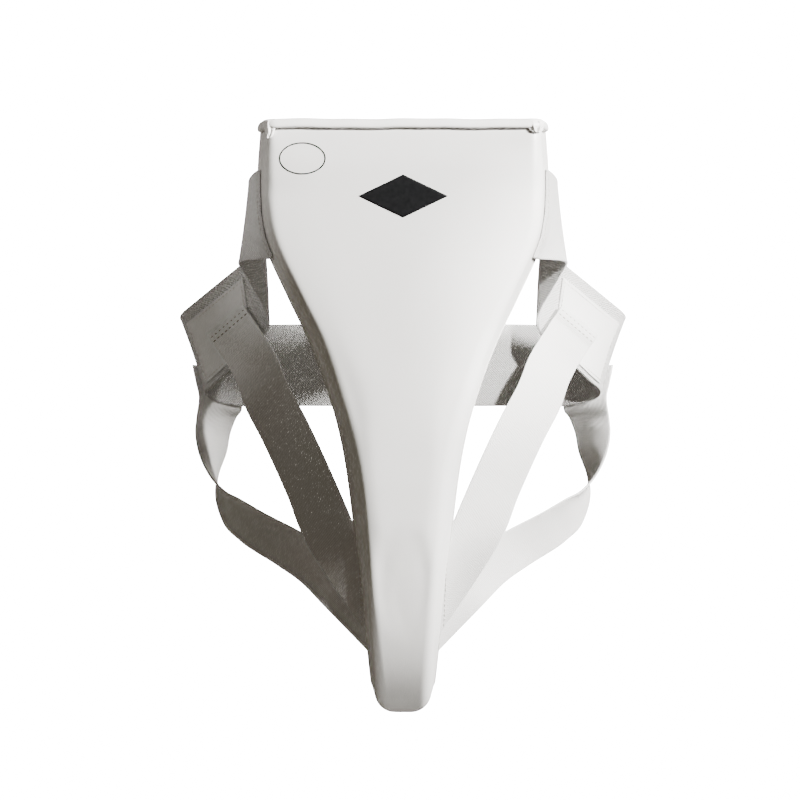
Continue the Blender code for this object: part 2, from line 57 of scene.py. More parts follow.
# %% Pad sizes
PAD_ABOVE_WAISTLINE = 0.0515
PAD_LENGTH = 0.3400
TAIL_LENGTH = 0.0970
PAD_TOP_WIDTH = 0.1650
PAD_TAIL_WIDTH = 0.0360
PAD_THICKNESS = 0.0200
TAIL_THICKNESS = 0.0150
TAIL_CURL = math.radians(52)
TAIL_END_RADIUS = 0.0140
SIDE_SLOPE = PAD_THICKNESS * 0.25
FRONT_EDGE_RADIUS = PAD_THICKNESS * 0.375
TOP_EDGE_DROP = PAD_THICKNESS * 0.15
TOP_EDGE_LENGTH = 0.0100
COVER_BACK = 0.0013
STRAIGHT_LENGTH = PAD_LENGTH - TAIL_LENGTH
CURL_RADIUS = TAIL_LENGTH / TAIL_CURL
OUTLINE_PLACES = [0.0, 0.09, 0.18, 0.29, 0.355, 0.48, 0.71, 0.86, 1.0]
OUTLINE_SHARES = [0.97, 1.0, 0.97, 0.73, 0.565, 0.33, 0.135, 0.055, 0.0]
print("pad", PAD_LENGTH, "long, curl radius", round(CURL_RADIUS, 4))

# %% [markdown]
# ## Outline and thickness down the pad
#
# The outline swells a little below the top, sweeps in and runs out into the tongue. It could be
# drawn as a curve object, but a cubic through a few measured widths can be asked for its value at
# any distance, which every later piece needs: binding, lining, band ends and strap ends.

# %% Outline and thickness


def hermite(start, end, start_slope, end_slope, span, t):
    """Cubic between two values, with a slope at each."""
    return (
        start * (2 * t**3 - 3 * t**2 + 1)
        + start_slope * (span * (t**3 - 2 * t**2 + t))
        + end * (3 * t**2 - 2 * t**3)
        + end_slope * (span * (t**3 - t**2))
    )


def slopes_at(values, places):
    """Slope at each value from its neighbours, weighted by how near they are."""
    values = np.asarray(values, float)
    spans = np.diff(places)
    shaped = spans.reshape((-1,) + (1,) * (values.ndim - 1))
    rises = np.diff(values, axis=0) / shaped
    before, after = shaped[:-1], shaped[1:]
    inner = (rises[:-1] * after + rises[1:] * before) / (before + after)
    return np.concatenate([rises[:1], inner, rises[-1:]])


OUTLINE_SLOPES = slopes_at(OUTLINE_SHARES, OUTLINE_PLACES)


def end_rounding(distance, radius):
    """How far the rounded tip has drawn in at a distance down the pad."""
    past = distance - (PAD_LENGTH - radius)
    return 0.0 if past <= 0 else radius - math.sqrt(max(radius**2 - past**2, 0.0))


def half_width(distance):
    place = min(distance / PAD_LENGTH, 1.0)
    index = min(sum(place >= edge for edge in OUTLINE_PLACES[1:]), len(OUTLINE_PLACES) - 2)
    span = OUTLINE_PLACES[index + 1] - OUTLINE_PLACES[index]
    share = hermite(
        OUTLINE_SHARES[index],
        OUTLINE_SHARES[index + 1],
        OUTLINE_SLOPES[index],
        OUTLINE_SLOPES[index + 1],
        span,
        (place - OUTLINE_PLACES[index]) / span,
    )
    full = PAD_TAIL_WIDTH + (PAD_TOP_WIDTH - PAD_TAIL_WIDTH) * share
    return full / 2 - end_rounding(distance, TAIL_END_RADIUS)


def thickness(distance):
    """Front face in front of the back rim, at a distance down the pad."""
    share = max(distance / PAD_LENGTH - 0.6, 0.0) / 0.4
    full = PAD_THICKNESS + (TAIL_THICKNESS - PAD_THICKNESS) * share
    top = max(1 - max(distance, 0.0) / TOP_EDGE_LENGTH, 0.0) ** 2 * TOP_EDGE_DROP
    return full - top - end_rounding(distance, FRONT_EDGE_RADIUS)


print("pad half width at the waistline", round(half_width(PAD_ABOVE_WAISTLINE), 4))

# %% [markdown]
# ## From pad coordinates to positions
#
# The pad's section is a flat back, two walls that lean in and a front with rounded edges. It is
# worked out flat and then bent with the tongue, so that the wall stays square to the curl.

# %% Sections of the pad


def pad_point(across, depth, distance):
    """Position of a place on the pad: straight down at first, then round the tongue's curl."""
    if distance <= STRAIGHT_LENGTH:
        return np.array((across, -depth, PAD_ABOVE_WAISTLINE - distance))
    turn = (distance - STRAIGHT_LENGTH) / CURL_RADIUS
    reach = CURL_RADIUS + depth
    bend_height = PAD_ABOVE_WAISTLINE - STRAIGHT_LENGTH
    return np.array((across, CURL_RADIUS - reach * math.cos(turn), bend_height - reach * math.sin(turn)))


def side_profile(distance, inset, back, front_inset, wall_rows=4, arc_rows=8):
    """Right side of the pad's section, from the back edge up the wall and round to the front."""
    half = half_width(distance) - inset
    front = COVER_BACK + thickness(distance) - front_inset
    radius = min(FRONT_EDGE_RADIUS - front_inset, half * 0.55, (front - back) * 0.9)
    slope = min(SIDE_SLOPE, half * 0.25)
    wall_top = front - radius
    lean = slope * (wall_top - back) / (COVER_BACK + PAD_THICKNESS - back)
    points = []
    for row in range(wall_rows):
        share = row / wall_rows
        points.append((half - lean * share * (0.7 * (1 - share) + share), back + (wall_top - back) * share))
    for step in range(arc_rows + 1):
        angle = math.pi / 2 * step / arc_rows
        points.append((half - lean - radius + radius * math.cos(angle), wall_top + radius * math.sin(angle)))
    return points


def over_the_front(side, columns):
    """Section of the pad from the left back edge, over the front, to the right back edge."""
    edge, front = side[-1]
    left = [(-across, depth) for across, depth in side[:-1]]
    flat = [(-edge + 2 * edge * column / columns, front) for column in range(columns + 1)]
    return left + flat + side[-2::-1]


print("tongue's tip at", [round(float(value), 4) for value in pad_point(0.0, 0.0, PAD_LENGTH)])

# %% [markdown]
# ## Meshes from rows of points
#
# Nearly every piece is a loft: rows of points that close round into a ring, joined row to row and
# capped at both ends. UVs are kept in metres, so that a weave has the same pitch on every piece.

# %% Mesh helpers


def in_scene(name, data):
    """New object in the scene for this mesh, lamp or camera."""
    item = bpy.data.objects.new(name, data)
    bpy.context.scene.collection.objects.link(item)
    return item


def new_object(name, points, faces, uvs=None):
    """Mesh object with smooth shading; uvs holds one (u, v) for each point."""
    mesh = bpy.data.meshes.new(name)
    mesh.from_pydata([tuple(point) for point in points], [], faces)
    mesh.validate()
    mesh.shade_smooth()
    if uvs is not None:
        layer = mesh.uv_layers.new(name="metres")
        corners = np.empty(len(mesh.loops), np.int32)
        mesh.loops.foreach_get("vertex_index", corners)
        layer.data.foreach_set("uv", np.asarray(uvs, float)[corners].ravel())
    face_outwards(mesh)
    return in_scene(name, mesh)


def face_outwards(mesh):
    """Turns every face round if the volume inside the closed mesh comes out negative."""
    mesh.calc_loop_triangles()
    points = np.empty(len(mesh.vertices) * 3)
    mesh.vertices.foreach_get("co", points)
    corners = np.empty(len(mesh.loop_triangles) * 3, np.int32)
    mesh.loop_triangles.foreach_get("vertices", corners)
    a, b, c = points.reshape(-1, 3)[corners.reshape(-1, 3)].transpose(1, 0, 2)
    if (a * np.cross(b, c)).sum() < 0:
        mesh.flip_normals()


def side_faces(rows, count):
    """Faces between the rings of a loft, open at both ends."""
    faces = []
    for row in range(rows - 1):
        for column in range(count):
            here = row * count + column
            beside = row * count + (column + 1) % count
            faces.append((here, beside, beside + count, here + count))
    return faces


def ring_faces(rows, count):
    """Faces of a loft of closed rings, capped at both ends by strips from side to side."""
    faces = side_faces(rows, count)
    for row, turned in ((0, True), (rows - 1, False)):
        for column in range(count // 2 - 1):
            a = row * count + column
            b = row * count + count - 1 - column
            face = (a, a + 1, b - 1, b)
            faces.append(face[::-1] if turned else face)
    return faces


def subdivide(item):
    """One level of Catmull-Clark subdivision, applied."""
    smoother = item.modifiers.new("smooth", "SUBSURF")
    smoother.levels = smoother.render_levels = 1
    bake_modifiers(item)


def bake_modifiers(item):
    """Replaces the mesh by its evaluated shape and drops the modifiers."""
    graph = bpy.context.evaluated_depsgraph_get()
    made = bpy.data.meshes.new_from_object(item.evaluated_get(graph), depsgraph=graph)
    item.modifiers.clear()
    item.data = made
    made.shade_smooth()


# %% [markdown]
# ## Materials
#
# Each finish is a small node tree on top of a Principled shader. On a weave a height field drives a
# bump and also darkens the hollows in the base colour as painted shade, and a noise varies the roughness.
# The weaves read UVs in metres. Leather, tape, thread and ink read object coordinates.

# %% Material helpers
# Nearly all of a noise's values lie between these two.
NOISE_LOW, NOISE_HIGH = 0.3, 0.7


class Finish:
    """A material under construction: short calls that add and join its nodes."""

    def __init__(self, name, colour, roughness, sheen=0.0, coat=0.0):
        self.material = bpy.data.materials.new(name)
        self.material.use_nodes = True
        self.tree = self.material.node_tree
        self.shader = self.tree.nodes["Principled BSDF"]
        self.shader.inputs["Base Color"].default_value = (*colour, 1.0)
        self.shader.inputs["Roughness"].default_value = roughness
        self.shader.inputs["Sheen Weight"].default_value = sheen
        self.shader.inputs["Sheen Roughness"].default_value = 0.4
        self.shader.inputs["Coat Weight"].default_value = coat
        self.colour = colour

    def node(self, kind, **values):
        made = self.tree.nodes.new(kind)
        for name, value in values.items():
            setattr(made, name, value)
        return made

    def join(self, source, target):
        self.tree.links.new(source, target)

    def math(self, operation, first, second=0.0, third=0.0):
        made = self.node("ShaderNodeMath", operation=operation)
        for socket, value in zip(made.inputs, (first, second, third)):
            if isinstance(value, (int, float)):
                socket.default_value = value
            else:
                self.join(value, socket)
        return made.outputs[0]

    def metres(self):
        """The U and V sockets of the piece's UVs, in metres."""
        uv = self.node("ShaderNodeUVMap", uv_map="metres")
        split = self.node("ShaderNodeSeparateXYZ")
        self.join(uv.outputs["UV"], split.inputs["Vector"])
        return split.outputs["X"], split.outputs["Y"]

    def noise(self, scale, detail=2.0, stretch=None, uv=False):
        source = self.node("ShaderNodeUVMap", uv_map="metres") if uv else self.node("ShaderNodeTexCoord")
        place = source.outputs["UV"] if uv else source.outputs["Object"]
        if stretch:
            mapping = self.node("ShaderNodeMapping")
            mapping.inputs["Scale"].default_value = stretch
            self.join(place, mapping.inputs["Vector"])
            place = mapping.outputs["Vector"]
        made = self.node("ShaderNodeTexNoise")
        made.inputs["Scale"].default_value = scale
        made.inputs["Detail"].default_value = detail
        self.join(place, made.inputs["Vector"])
        return made.outputs["Fac"]

    def wave(self, place, pitch, shift=0.0):
        """A sine from -1 to 1 with this pitch."""
        return self.math("SINE", self.math("MULTIPLY_ADD", place, 2 * math.pi / pitch, shift))

    def bump(self, height, strength, distance):
        made = self.node("ShaderNodeBump")
        made.inputs["Strength"].default_value = strength
        made.inputs["Distance"].default_value = distance
        self.join(height, made.inputs["Height"])
        previous = self.shader.inputs["Normal"].links
        if previous:
            self.join(previous[0].from_socket, made.inputs["Normal"])
        self.join(made.outputs["Normal"], self.shader.inputs["Normal"])

    def vary_colour(self, factor, darker, low=NOISE_LOW, high=NOISE_HIGH):
        """Base colour from darker to full as the factor runs from low to high."""
        mixer = self.node("ShaderNodeMix", data_type="RGBA")
        mixer.inputs["A"].default_value = (*(value * darker for value in self.colour), 1.0)
        mixer.inputs["B"].default_value = (*self.colour, 1.0)
        self.join(self.spread(factor, low, high, 0.0, 1.0), mixer.inputs["Factor"])
        self.join(mixer.outputs["Result"], self.shader.inputs["Base Color"])

    def vary_roughness(self, noise, start, end):
        rough = self.spread(noise, NOISE_LOW, NOISE_HIGH, start, end)
        self.join(rough, self.shader.inputs["Roughness"])

    def spread(self, factor, low, high, start, end):
        made = self.node("ShaderNodeMapRange")
        for name, value in (("From Min", low), ("From Max", high), ("To Min", start), ("To Max", end)):
            made.inputs[name].default_value = value
        self.join(factor, made.inputs["Value"])
        return made.outputs["Result"]


# %% [markdown]
# ## Leather of the front
#
# The front is smooth coated leather. Its pores are too fine to model, so the edges of small Voronoi
# cells make a faint pebble, a slow noise makes the surface swell slightly as over foam, and a thin
# coat layer gives the soft satin highlight.

# %% Leather


def make_leather():
    """Smooth coated leather: a fine pebble, faint clouding and a satin coat."""
    finish = Finish("satin_coated_leather", (0.700, 0.693, 0.682), 0.42, coat=0.12)
    finish.shader.inputs["Coat Roughness"].default_value = 0.35
    cells = finish.node("ShaderNodeTexVoronoi", feature="DISTANCE_TO_EDGE")
    cells.inputs["Scale"].default_value = 900
    place = finish.node("ShaderNodeTexCoord")
    finish.join(place.outputs["Object"], cells.inputs["Vector"])
    finish.bump(cells.outputs["Distance"], 0.06, 0.0002)
    finish.bump(finish.noise(60, 3), 0.10, 0.0006)
    finish.vary_colour(finish.noise(18, 4), 0.965)
    finish.vary_roughness(finish.noise(140, 3), 0.38, 0.47)
    return finish.material


LEATHER = make_leather()
print("finish", LEATHER.name)

# %% [markdown]
# ## Knit and webbing
#
# The waistband is an elastic waffle knit: two sine waves along its diagonals multiply to staggered
# cells, and the absolute value leaves a raised rim round each. The leg straps are narrow woven
# elastic: ribs along the strap, crossed by finer picks. Cells and ribs could be displaced geometry,
# but they are less than half a millimetre high, so a bump shows them and keeps the pieces light.

# %% Knit and webbing


def make_knit():
    """Elastic waffle knit: staggered cells with a raised rim round each."""
    finish = Finish("waffle_knit_elastic", (0.700, 0.693, 0.682), 0.85, sheen=0.25)
    along, across = finish.metres()
    pitch = 0.0030
    first = finish.wave(finish.math("ADD", along, across), pitch)
    second = finish.wave(finish.math("SUBTRACT", along, across), pitch)
    cells = finish.math("MULTIPLY", first, second)
    yarn = finish.noise(2200, 2, uv=True)
    height = finish.math("MULTIPLY_ADD", yarn, 0.14, finish.math("ABSOLUTE", cells))
    finish.bump(height, 0.9, 0.0007)
    # Painted shade: the hollows round the cells are darkened in the base colour, with a little random yarn
    # tone.
    finish.vary_colour(height, 0.74, 0.12, 0.6)
    finish.vary_roughness(yarn, 0.78, 0.92)
    return finish.material


def make_webbing():
    """Woven elastic strap: fine ribs along its length, crossed by a finer weave."""
    finish = Finish("ribbed_elastic_webbing", (0.700, 0.693, 0.682), 0.8, sheen=0.25)
    along, across = finish.metres()
    ribs = finish.wave(across, 0.00085)
    picks = finish.wave(along, 0.0011)
    speckle = finish.noise(1800, 3, uv=True)
    weave = finish.math("MULTIPLY_ADD", finish.math("MULTIPLY", ribs, picks), 0.35, ribs)
    height = finish.math("MULTIPLY_ADD", speckle, 0.7, weave)
    finish.bump(height, 0.6, 0.0002)
    # Painted shade in the low parts between ribs and picks, mixed with a random speckled tone.
    finish.vary_colour(height, 0.80, -0.8, 1.3)
    finish.vary_roughness(speckle, 0.74, 0.88)
    return finish.material


KNIT = make_knit()
WEBBING = make_webbing()
print("finishes", KNIT.name, WEBBING.name)

# %% [markdown]
# ## Patch cloth and lining
#
# The hip patches are a close plain weave, nearly smooth, so the weave is a fine grid with little
# contrast. The lining is a brushed tricot: faint wales under a soft nap, with more sheen than the
# other textiles because the raised fibres catch light at the edges.

# %% Patch cloth and lining


def make_patch_cloth():
    """Close plain weave of the hip patches, nearly smooth."""
    finish = Finish("patch_weave", (0.717, 0.708, 0.700), 0.75, sheen=0.2)
    along, across = finish.metres()
    weave = finish.math("MULTIPLY", finish.wave(along, 0.0007), finish.wave(across, 0.0007))
    cloud = finish.noise(1200, 2, uv=True)
    height = finish.math("MULTIPLY_ADD", cloud, 1.0, weave)
    finish.bump(height, 0.5, 0.00015)
    # Painted shade in the low parts of the weave, mixed with a random cloudy tone.
    finish.vary_colour(height, 0.88, -0.5, 1.3)
    finish.vary_roughness(cloud, 0.7, 0.82)
    return finish.material


def make_lining():
    """Brushed tricot lining: fine wales down its length, softly napped."""
    finish = Finish("brushed_tricot_lining", (0.74, 0.73, 0.71), 0.9, sheen=0.45)
    along, across = finish.metres()
    wales = finish.wave(across, 0.0012)
    nap = finish.noise(900, 4, uv=True)
    knit = finish.math("MULTIPLY_ADD", wales, 0.5, finish.wave(along, 0.0010))
    height = finish.math("MULTIPLY_ADD", nap, 1.5, knit)
    finish.bump(height, 0.35, 0.0002)
    finish.vary_colour(nap, 0.90, 0.25, 0.75)
    finish.vary_roughness(nap, 0.84, 0.95)
    return finish.material


PATCH_CLOTH = make_patch_cloth()
LINING = make_lining()
print("finishes", PATCH_CLOTH.name, LINING.name)

# %% [markdown]
# ## Tape, thread and ink
#
# The binding is coated tape, creased along its length where it is folded. The thread is so thin that
# a fine noise is enough for its twist. The ink lies flat and matt, with a faint mottle.

# %% Tape, thread and ink


def make_tape():
    """Folded coated tape of the binding, slightly creased."""
    finish = Finish("coated_binding_tape", (0.81, 0.80, 0.785), 0.45, coat=0.1)
    finish.bump(finish.noise(90, 3, stretch=(1.0, 1.0, 3.0)), 0.22, 0.0008)
    finish.bump(finish.noise(900, 2), 0.10, 0.0002)
    finish.vary_colour(finish.noise(60, 3), 0.95)
    finish.vary_roughness(finish.noise(200, 2), 0.40, 0.52)
    return finish.material


def make_thread(name, colour):
    """Twisted polyester sewing thread."""
    finish = Finish(name, colour, 0.6, sheen=0.1)
    twist = finish.noise(3000, 1)
    finish.bump(twist, 0.5, 0.0001)
    finish.vary_colour(twist, 0.82)
    finish.vary_roughness(twist, 0.5, 0.65)
    return finish.material


def make_ink():
    """Black transfer print with a faint mottle."""
    finish = Finish("black_print", (0.0035, 0.0035, 0.004), 0.5)
    finish.shader.inputs["Specular IOR Level"].default_value = 0.12
    mottle = finish.noise(700, 2)
    finish.bump(mottle, 0.08, 0.0001)
    finish.vary_colour(mottle, 0.7)
    finish.vary_roughness(mottle, 0.45, 0.6)
    return finish.material


TAPE = make_tape()
# Painted shade: the hip thread is made dark to stand in for the shadow in its stitch holes and groove.
THREAD = make_thread("twisted_thread", (0.21, 0.195, 0.17))
PALE_THREAD = make_thread("pale_twisted_thread", (0.62, 0.605, 0.58))
INK = make_ink()
print("finishes", TAPE.name, THREAD.name, PALE_THREAD.name, INK.name)

# %% [markdown]
# ## Handing a piece over
#
# Each finished piece gets one material and says which solids of the frame it stands for.

# %% Finish a piece


def finish_piece(item, material, slot, *nodes):
    """Gives a piece its finish, its place in the frame and the solids that it stands for."""
    item.data.materials.clear()
    item.data.materials.append(material)
    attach(item, "root")
    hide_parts(*nodes)
    print(item.name, "faces", len(item.data.polygons))


# %% [markdown]
# ## The padded front
#
# The foam and its cover are one soft body here. The cover starts a little smaller than its final
# shape and a cloth simulation blows it up against its seams: the back and the top row are held,
# pressure rounds the rest, and no point may move further than a small cap. That gives the faint
# crown and the soft edges of a filled cover without losing the outline.

# %% Shape of the cover before it is filled
FILL_INSET = 0.0006
FILL_CAP = 0.0013
FILL_FRAMES = 20
FILL_SMOOTHING = 12
FILL_CLOTH = {
    "quality": 6,
    "mass": 0.15,
    "tension_stiffness": 20,
    "compression_stiffness": 20,
    "shear_stiffness": 8,
    "bending_stiffness": 1.5,
    "use_pressure": True,
    "uniform_pressure_force": 4.0,
    "vertex_group_mass": "held",
}
ROW_SPACING = 0.0042
FRONT_COLUMNS = 34
BACK_COLUMNS = 16
TIP_ROWS = 7
COVER_TOP = 0.0022
COVER_OVERLAP = 0.0002


def cover_ring(distance, inset, back):
    """Closed section of the pad: over the front from left to right, then back along the lining."""
    side = side_profile(distance, inset, back, inset)
    half = side[0][0]
    rear = [(half - 2 * half * column / BACK_COLUMNS, back) for column in range(1, BACK_COLUMNS)]
    section = over_the_front(side, FRONT_COLUMNS) + rear
    return [pad_point(across, depth, distance) for across, depth in section]


def cover_distances():
    """Even rows down the pad, then closer ones round its tip."""
    rounded = PAD_LENGTH - TAIL_END_RADIUS
    rows = round((rounded - COVER_TOP) / ROW_SPACING)
    even = [COVER_TOP + (rounded - COVER_TOP) * row / rows for row in range(rows + 1)]
    turns = [math.pi / 2 * step / TIP_ROWS for step in range(1, TIP_ROWS + 1)]
    return even + [rounded + TAIL_END_RADIUS * math.sin(turn) for turn in turns]


def lofted(name, rings):
    """Loft whose two ends are closed by one face each."""
    count = len(rings[0])
    points = [point for ring in rings for point in ring]
    faces = side_faces(len(rings), count)
    faces += [tuple(reversed(range(count))), tuple(range(len(points) - count, len(points)))]
    return new_object(name, points, faces)


rings = [cover_ring(distance, FILL_INSET, COVER_BACK - COVER_OVERLAP) for distance in cover_distances()]
cover = lofted("padded_front", rings)
print("cover rows", len(rings), "points round", len(rings[0]))

# %% [markdown]
# ## Filling it
#
# The simulation is short and has no gravity. The points of the back face and the top row belong
# to the pin group. Afterwards the movement of each point is capped and evened out, the modifier is
# dropped and one level of subdivision smooths the result.

# %% Fill the cover


def fill(item, rigid, columns):
    """Blows a closed loft up with a short cloth simulation, with the rigid points held.

    The movement is evened out round each ring, so that no pleats are left down the pad.
    Returns the largest movement before the cap and the mean movement kept.
    """
    start = np.array([vertex.co for vertex in item.data.vertices])
    group = item.vertex_groups.new(name=FILL_CLOTH["vertex_group_mass"])
    group.add(rigid, 1.0, "REPLACE")
    cloth = item.modifiers.new("fill", "CLOTH")
    for name, value in FILL_CLOTH.items():
        setattr(cloth.settings, name, value)
    cloth.settings.effector_weights.gravity = 0.0
    cloth.point_cache.frame_start = 1
    cloth.point_cache.frame_end = FILL_FRAMES
    scene = bpy.context.scene
    for number in range(1, FILL_FRAMES + 1):
        scene.frame_set(number)
    graph = bpy.context.evaluated_depsgraph_get()
    moved = np.array([vertex.co for vertex in item.evaluated_get(graph).data.vertices])
    item.modifiers.remove(cloth)
    item.vertex_groups.clear()
    scene.frame_set(1)
    shift = moved - start
    length = np.linalg.norm(shift, axis=1, keepdims=True)
    shift *= np.minimum(1.0, FILL_CAP / np.maximum(length, 1e-9))
    rounds = shift.reshape(-1, columns, 3)
    for _ in range(FILL_SMOOTHING):
        rounds = (np.roll(rounds, 1, axis=1) + 2 * rounds + np.roll(rounds, -1, axis=1)) / 4
        rounds.reshape(-1, 3)[rigid] = 0.0
    shift = rounds.reshape(-1, 3)
    item.data.vertices.foreach_set("co", (start + shift).ravel())
    item.data.update()
    return float(length.max()), float(np.linalg.norm(shift, axis=1).mean())


ring_size = len(rings[0])
rear_columns = [0, *range(ring_size - BACK_COLUMNS, ring_size)]
held = [row * ring_size + column for row in range(len(rings)) for column in rear_columns]
held += range(ring_size)
print("largest free move and mean kept move, m", fill(cover, held, ring_size))
subdivide(cover)
finish_piece(cover, LEATHER, "coated_leather", "front_cover", "impact_foam", "comfort_foam")

# %% [markdown]
# ## The back lining
#
# One sheet of brushed tricot closes the back. It is cut to the pad's outline, glued and sewn all
# round, so it is held stretched and needs no simulation: it follows the curl of the tongue.

# %% Back lining
LINING_THICKNESS = 0.0010
LINING_EDGE_ROUNDING = 0.00015
LINING_INSET = 0.0002
LINING_COLUMNS = 40
LINING_DISTANCES = np.linspace(0.0008, PAD_LENGTH - 0.0006, 110)


def make_lining_sheet():
    """The sheet's section is flat, with its two edges rounded off a little on both faces."""
    shares = [-1.0, -0.997, *np.linspace(-0.99, 0.99, LINING_COLUMNS), 0.997, 1.0]
    front = [(share, LINING_THICKNESS - LINING_EDGE_ROUNDING * (abs(share) == 1.0)) for share in shares]
    back = [(share, LINING_EDGE_ROUNDING * (abs(share) > 0.995)) for share in shares[::-1]]
    points, uvs = [], []
    for distance in LINING_DISTANCES:
        half = half_width(distance) - LINING_INSET
        for share, depth in front + back:
            points.append(pad_point(half * share, depth, distance))
            uvs.append((distance, half * share))
    faces = ring_faces(len(LINING_DISTANCES), 2 * len(shares))
    return new_object("back_lining_sheet", points, faces, uvs)


lining = make_lining_sheet()
finish_piece(lining, LINING, "lining", "back_lining")

# %% [markdown]
# ## Binding along the top
#
# A coated tape is folded over the top edge and sewn down. Its section is a soft roll: it bulges at
# mid height and tucks in where the stitching pulls it against the cover.

# %% Top binding
# Down from the top edge, outwards from the pad, and up from the top edge, in metres.
ROLL_SECTION = (
    (0.0046, 0.0001, 0.0),
    (0.0043, 0.0009, 0.0),
    (0.0036, 0.0015, 0.0),
    (0.0022, 0.0018, 0.0),
    (0.0009, 0.0016, 0.0),
    (0.0000, 0.0011, 0.0003),
    (0.0000, 0.0003, 0.0009),
    (0.0000, -0.0010, 0.0013),
    (0.0000, -0.0035, 0.0014),
)
ROLL_COLUMNS = 80
ROLL_BACK_SHARE = 0.8


def slight_wave(across):
    """The tape isn't ruler straight: it rises and falls by a tenth of a millimetre or two."""
    return 0.00018 * math.sin(across * 95 + 0.6) + 0.00012 * math.sin(across * 230 + 1.9)


def binding_ring(down, out, up):
    """Closed outline round the pad's top, with as many points behind as in front."""
    behind = -out * ROLL_BACK_SHARE
    over = over_the_front(side_profile(down, -out, behind, -out), ROLL_COLUMNS)
    ring = []
    for across, depth in over + [(across, behind) for across, _ in over[::-1]]:
        ring.append(pad_point(across, depth, down) + np.array((0.0, 0.0, up + slight_wave(across))))
    return ring


roll = [binding_ring(*place) for place in ROLL_SECTION]
binding_points = [point for ring in roll for point in ring]
binding = new_object("top_binding_roll", binding_points, ring_faces(len(roll), len(roll[0])))
subdivide(binding)
finish_piece(binding, TAPE, "binding_tape", "top_binding")

# %% [markdown]
# ## Corners of the binding
#
# At each front corner the spare end of the tape is folded down and tacked: a small pinched roll on
# the left that ends in a point, and a shorter crumpled knot on the right.

# %% Corner folds
FOLD_ROWS = 22
FOLD_COLUMNS = 26
FOLD_ABOVE_COVER = 0.0001
FOLD_INTO_COVER = 0.0008
# Side, start and length down the pad, first and last turn round the corner, height, ridges, depth, seed.
FOLDS = {
    "left": (-1, -0.0004, 0.0108, 0.25, 0.92, 0.0014, 2.0, 0.0005, 3),
    "right": (1, 0.0004, 0.0066, 0.05, 1.10, 0.0017, 3.2, 0.0009, 8),
}


def corner_point(sign, distance, turn, lift):
    """A point on the pad's rounded front corner: turn 0 on the side wall and 1 on the front."""
    radius = FRONT_EDGE_RADIUS + lift
    angle = math.pi / 2 * turn
    across = half_width(distance) + lift - SIDE_SLOPE * 0.6 - radius * (1 - math.cos(angle))
    depth = COVER_BACK + thickness(distance) + lift - radius * (1 - math.sin(angle))
    return pad_point(sign * across, depth, distance)


def make_fold(name, sign, top, length, first_turn, last_turn, height, ridges, depth, seed):
    """A tapering flap wrapped on the corner, with ridges that run down it."""
    phases = np.random.default_rng(seed).uniform(0, 2 * math.pi, 3)
    points = []
    for row in range(FOLD_ROWS + 1):
        down = row / FOLD_ROWS
        distance = top + length * down
        spread = max(math.sqrt(max(1 - down**2.2, 0.0)), 0.05) * (last_turn - first_turn) / 2
        middle = (first_turn + last_turn) / 2 + 0.10 * down
        outer, inner = [], []
        for column in range(FOLD_COLUMNS + 1):
            across = column / FOLD_COLUMNS * 2 - 1
            turn = middle + across * spread
            dome = math.sqrt(max(1 - across**2, 0.0))
            crease = math.sin(across * math.pi * ridges + phases[0] + 2.2 * down)
            crease += math.sin(across * math.pi * 2 * ridges + phases[1] - 3 * down) * 0.4
            crease += math.sin(down * 9 + phases[2] + across * 2) * 0.35
            rise = max((height * (1 - 0.55 * down) + crease * depth) * dome, 0.0)
            outer.append(corner_point(sign, distance, turn, rise + FOLD_ABOVE_COVER))
            inner.append(corner_point(sign, distance, turn, -FOLD_INTO_COVER))
        points += outer + inner[::-1]
    item = new_object(name, points, ring_faces(FOLD_ROWS + 1, 2 * (FOLD_COLUMNS + 1)))
    subdivide(item)
    return item


for side, values in FOLDS.items():
    fold = make_fold(f"corner_fold_{side}", *values)
    finish_piece(fold, TAPE, "binding_tape", f"binding_fold_{side}")

# %% [markdown]
# ## Ribbons
#
# A band or strap is a surface through stations, each a row of five points across it. `Ribbon` finds
# the surface, its direction and its outward side anywhere along it; `strap` turns a stretch of it
# into a soft strip with rounded edges and UVs in metres.

# %% Ribbon surface


class Ribbon:
    """A strap's middle surface."""

    def __init__(self, stations):
        self.rows = np.array([[tuple(point) for point in row] for row in stations])
        middles = self.rows[:, 2]
        steps = np.linalg.norm(np.diff(middles, axis=0), axis=1)
        self.places = np.concatenate([[0.0], np.cumsum(steps)])
        self.slopes = slopes_at(self.rows, self.places)
        self.length = float(self.places[-1])

    def station_at(self, distance):
        index = int(np.clip(np.searchsorted(self.places, distance, "left") - 1, 0, len(self.places) - 2))
        span = self.places[index + 1] - self.places[index]
        return index + (distance - self.places[index]) / span

    def distance_at(self, station):
        index = min(int(station), len(self.places) - 2)
        return self.places[index] + (station - index) * (self.places[index + 1] - self.places[index])

    def row(self, station):
        index = min(int(station), len(self.rows) - 2)
        span = self.places[index + 1] - self.places[index]
        return hermite(
            self.rows[index],
            self.rows[index + 1],
            self.slopes[index],
            self.slopes[index + 1],
            span,
            station - index,
        )

    @staticmethod
    def spread(row, shares):
        """Points of a row at these shares of the width."""
        places = np.clip(np.asarray(shares, float) * 4, 0, 4)
        index = np.minimum(places.astype(int), 3)
        part = (places - index)[:, None]
        return row[index] * (1 - part) + row[index + 1] * part

    def surface(self, station, shares):
        """Points, directions along and outward directions at one station."""
        last, near = len(self.rows) - 1, 0.02
        shares = np.asarray(shares, float)
        before = self.spread(self.row(max(station - near, 0)), shares)
        after = self.spread(self.row(min(station + near, last)), shares)
        row = self.row(station)
        upper = self.spread(row, np.maximum(shares - near, 0))
        lower = self.spread(row, np.minimum(shares + near, 1))
        along = unit(after - before)
        outwards = unit(np.cross(along, upper - lower))
        return self.spread(row, shares), along, outwards


def unit(vectors):
    return vectors / np.maximum(np.linalg.norm(vectors, axis=-1, keepdims=True), 1e-12)


# %% [markdown]
# ## Rows across a strap
#
# Where a strap hangs free a row is straight, and five points on a line are enough. Where it is sewn
# on the pad the row follows the side wall, so the same five points are looked up on the wall.

# %% Rows across a strap


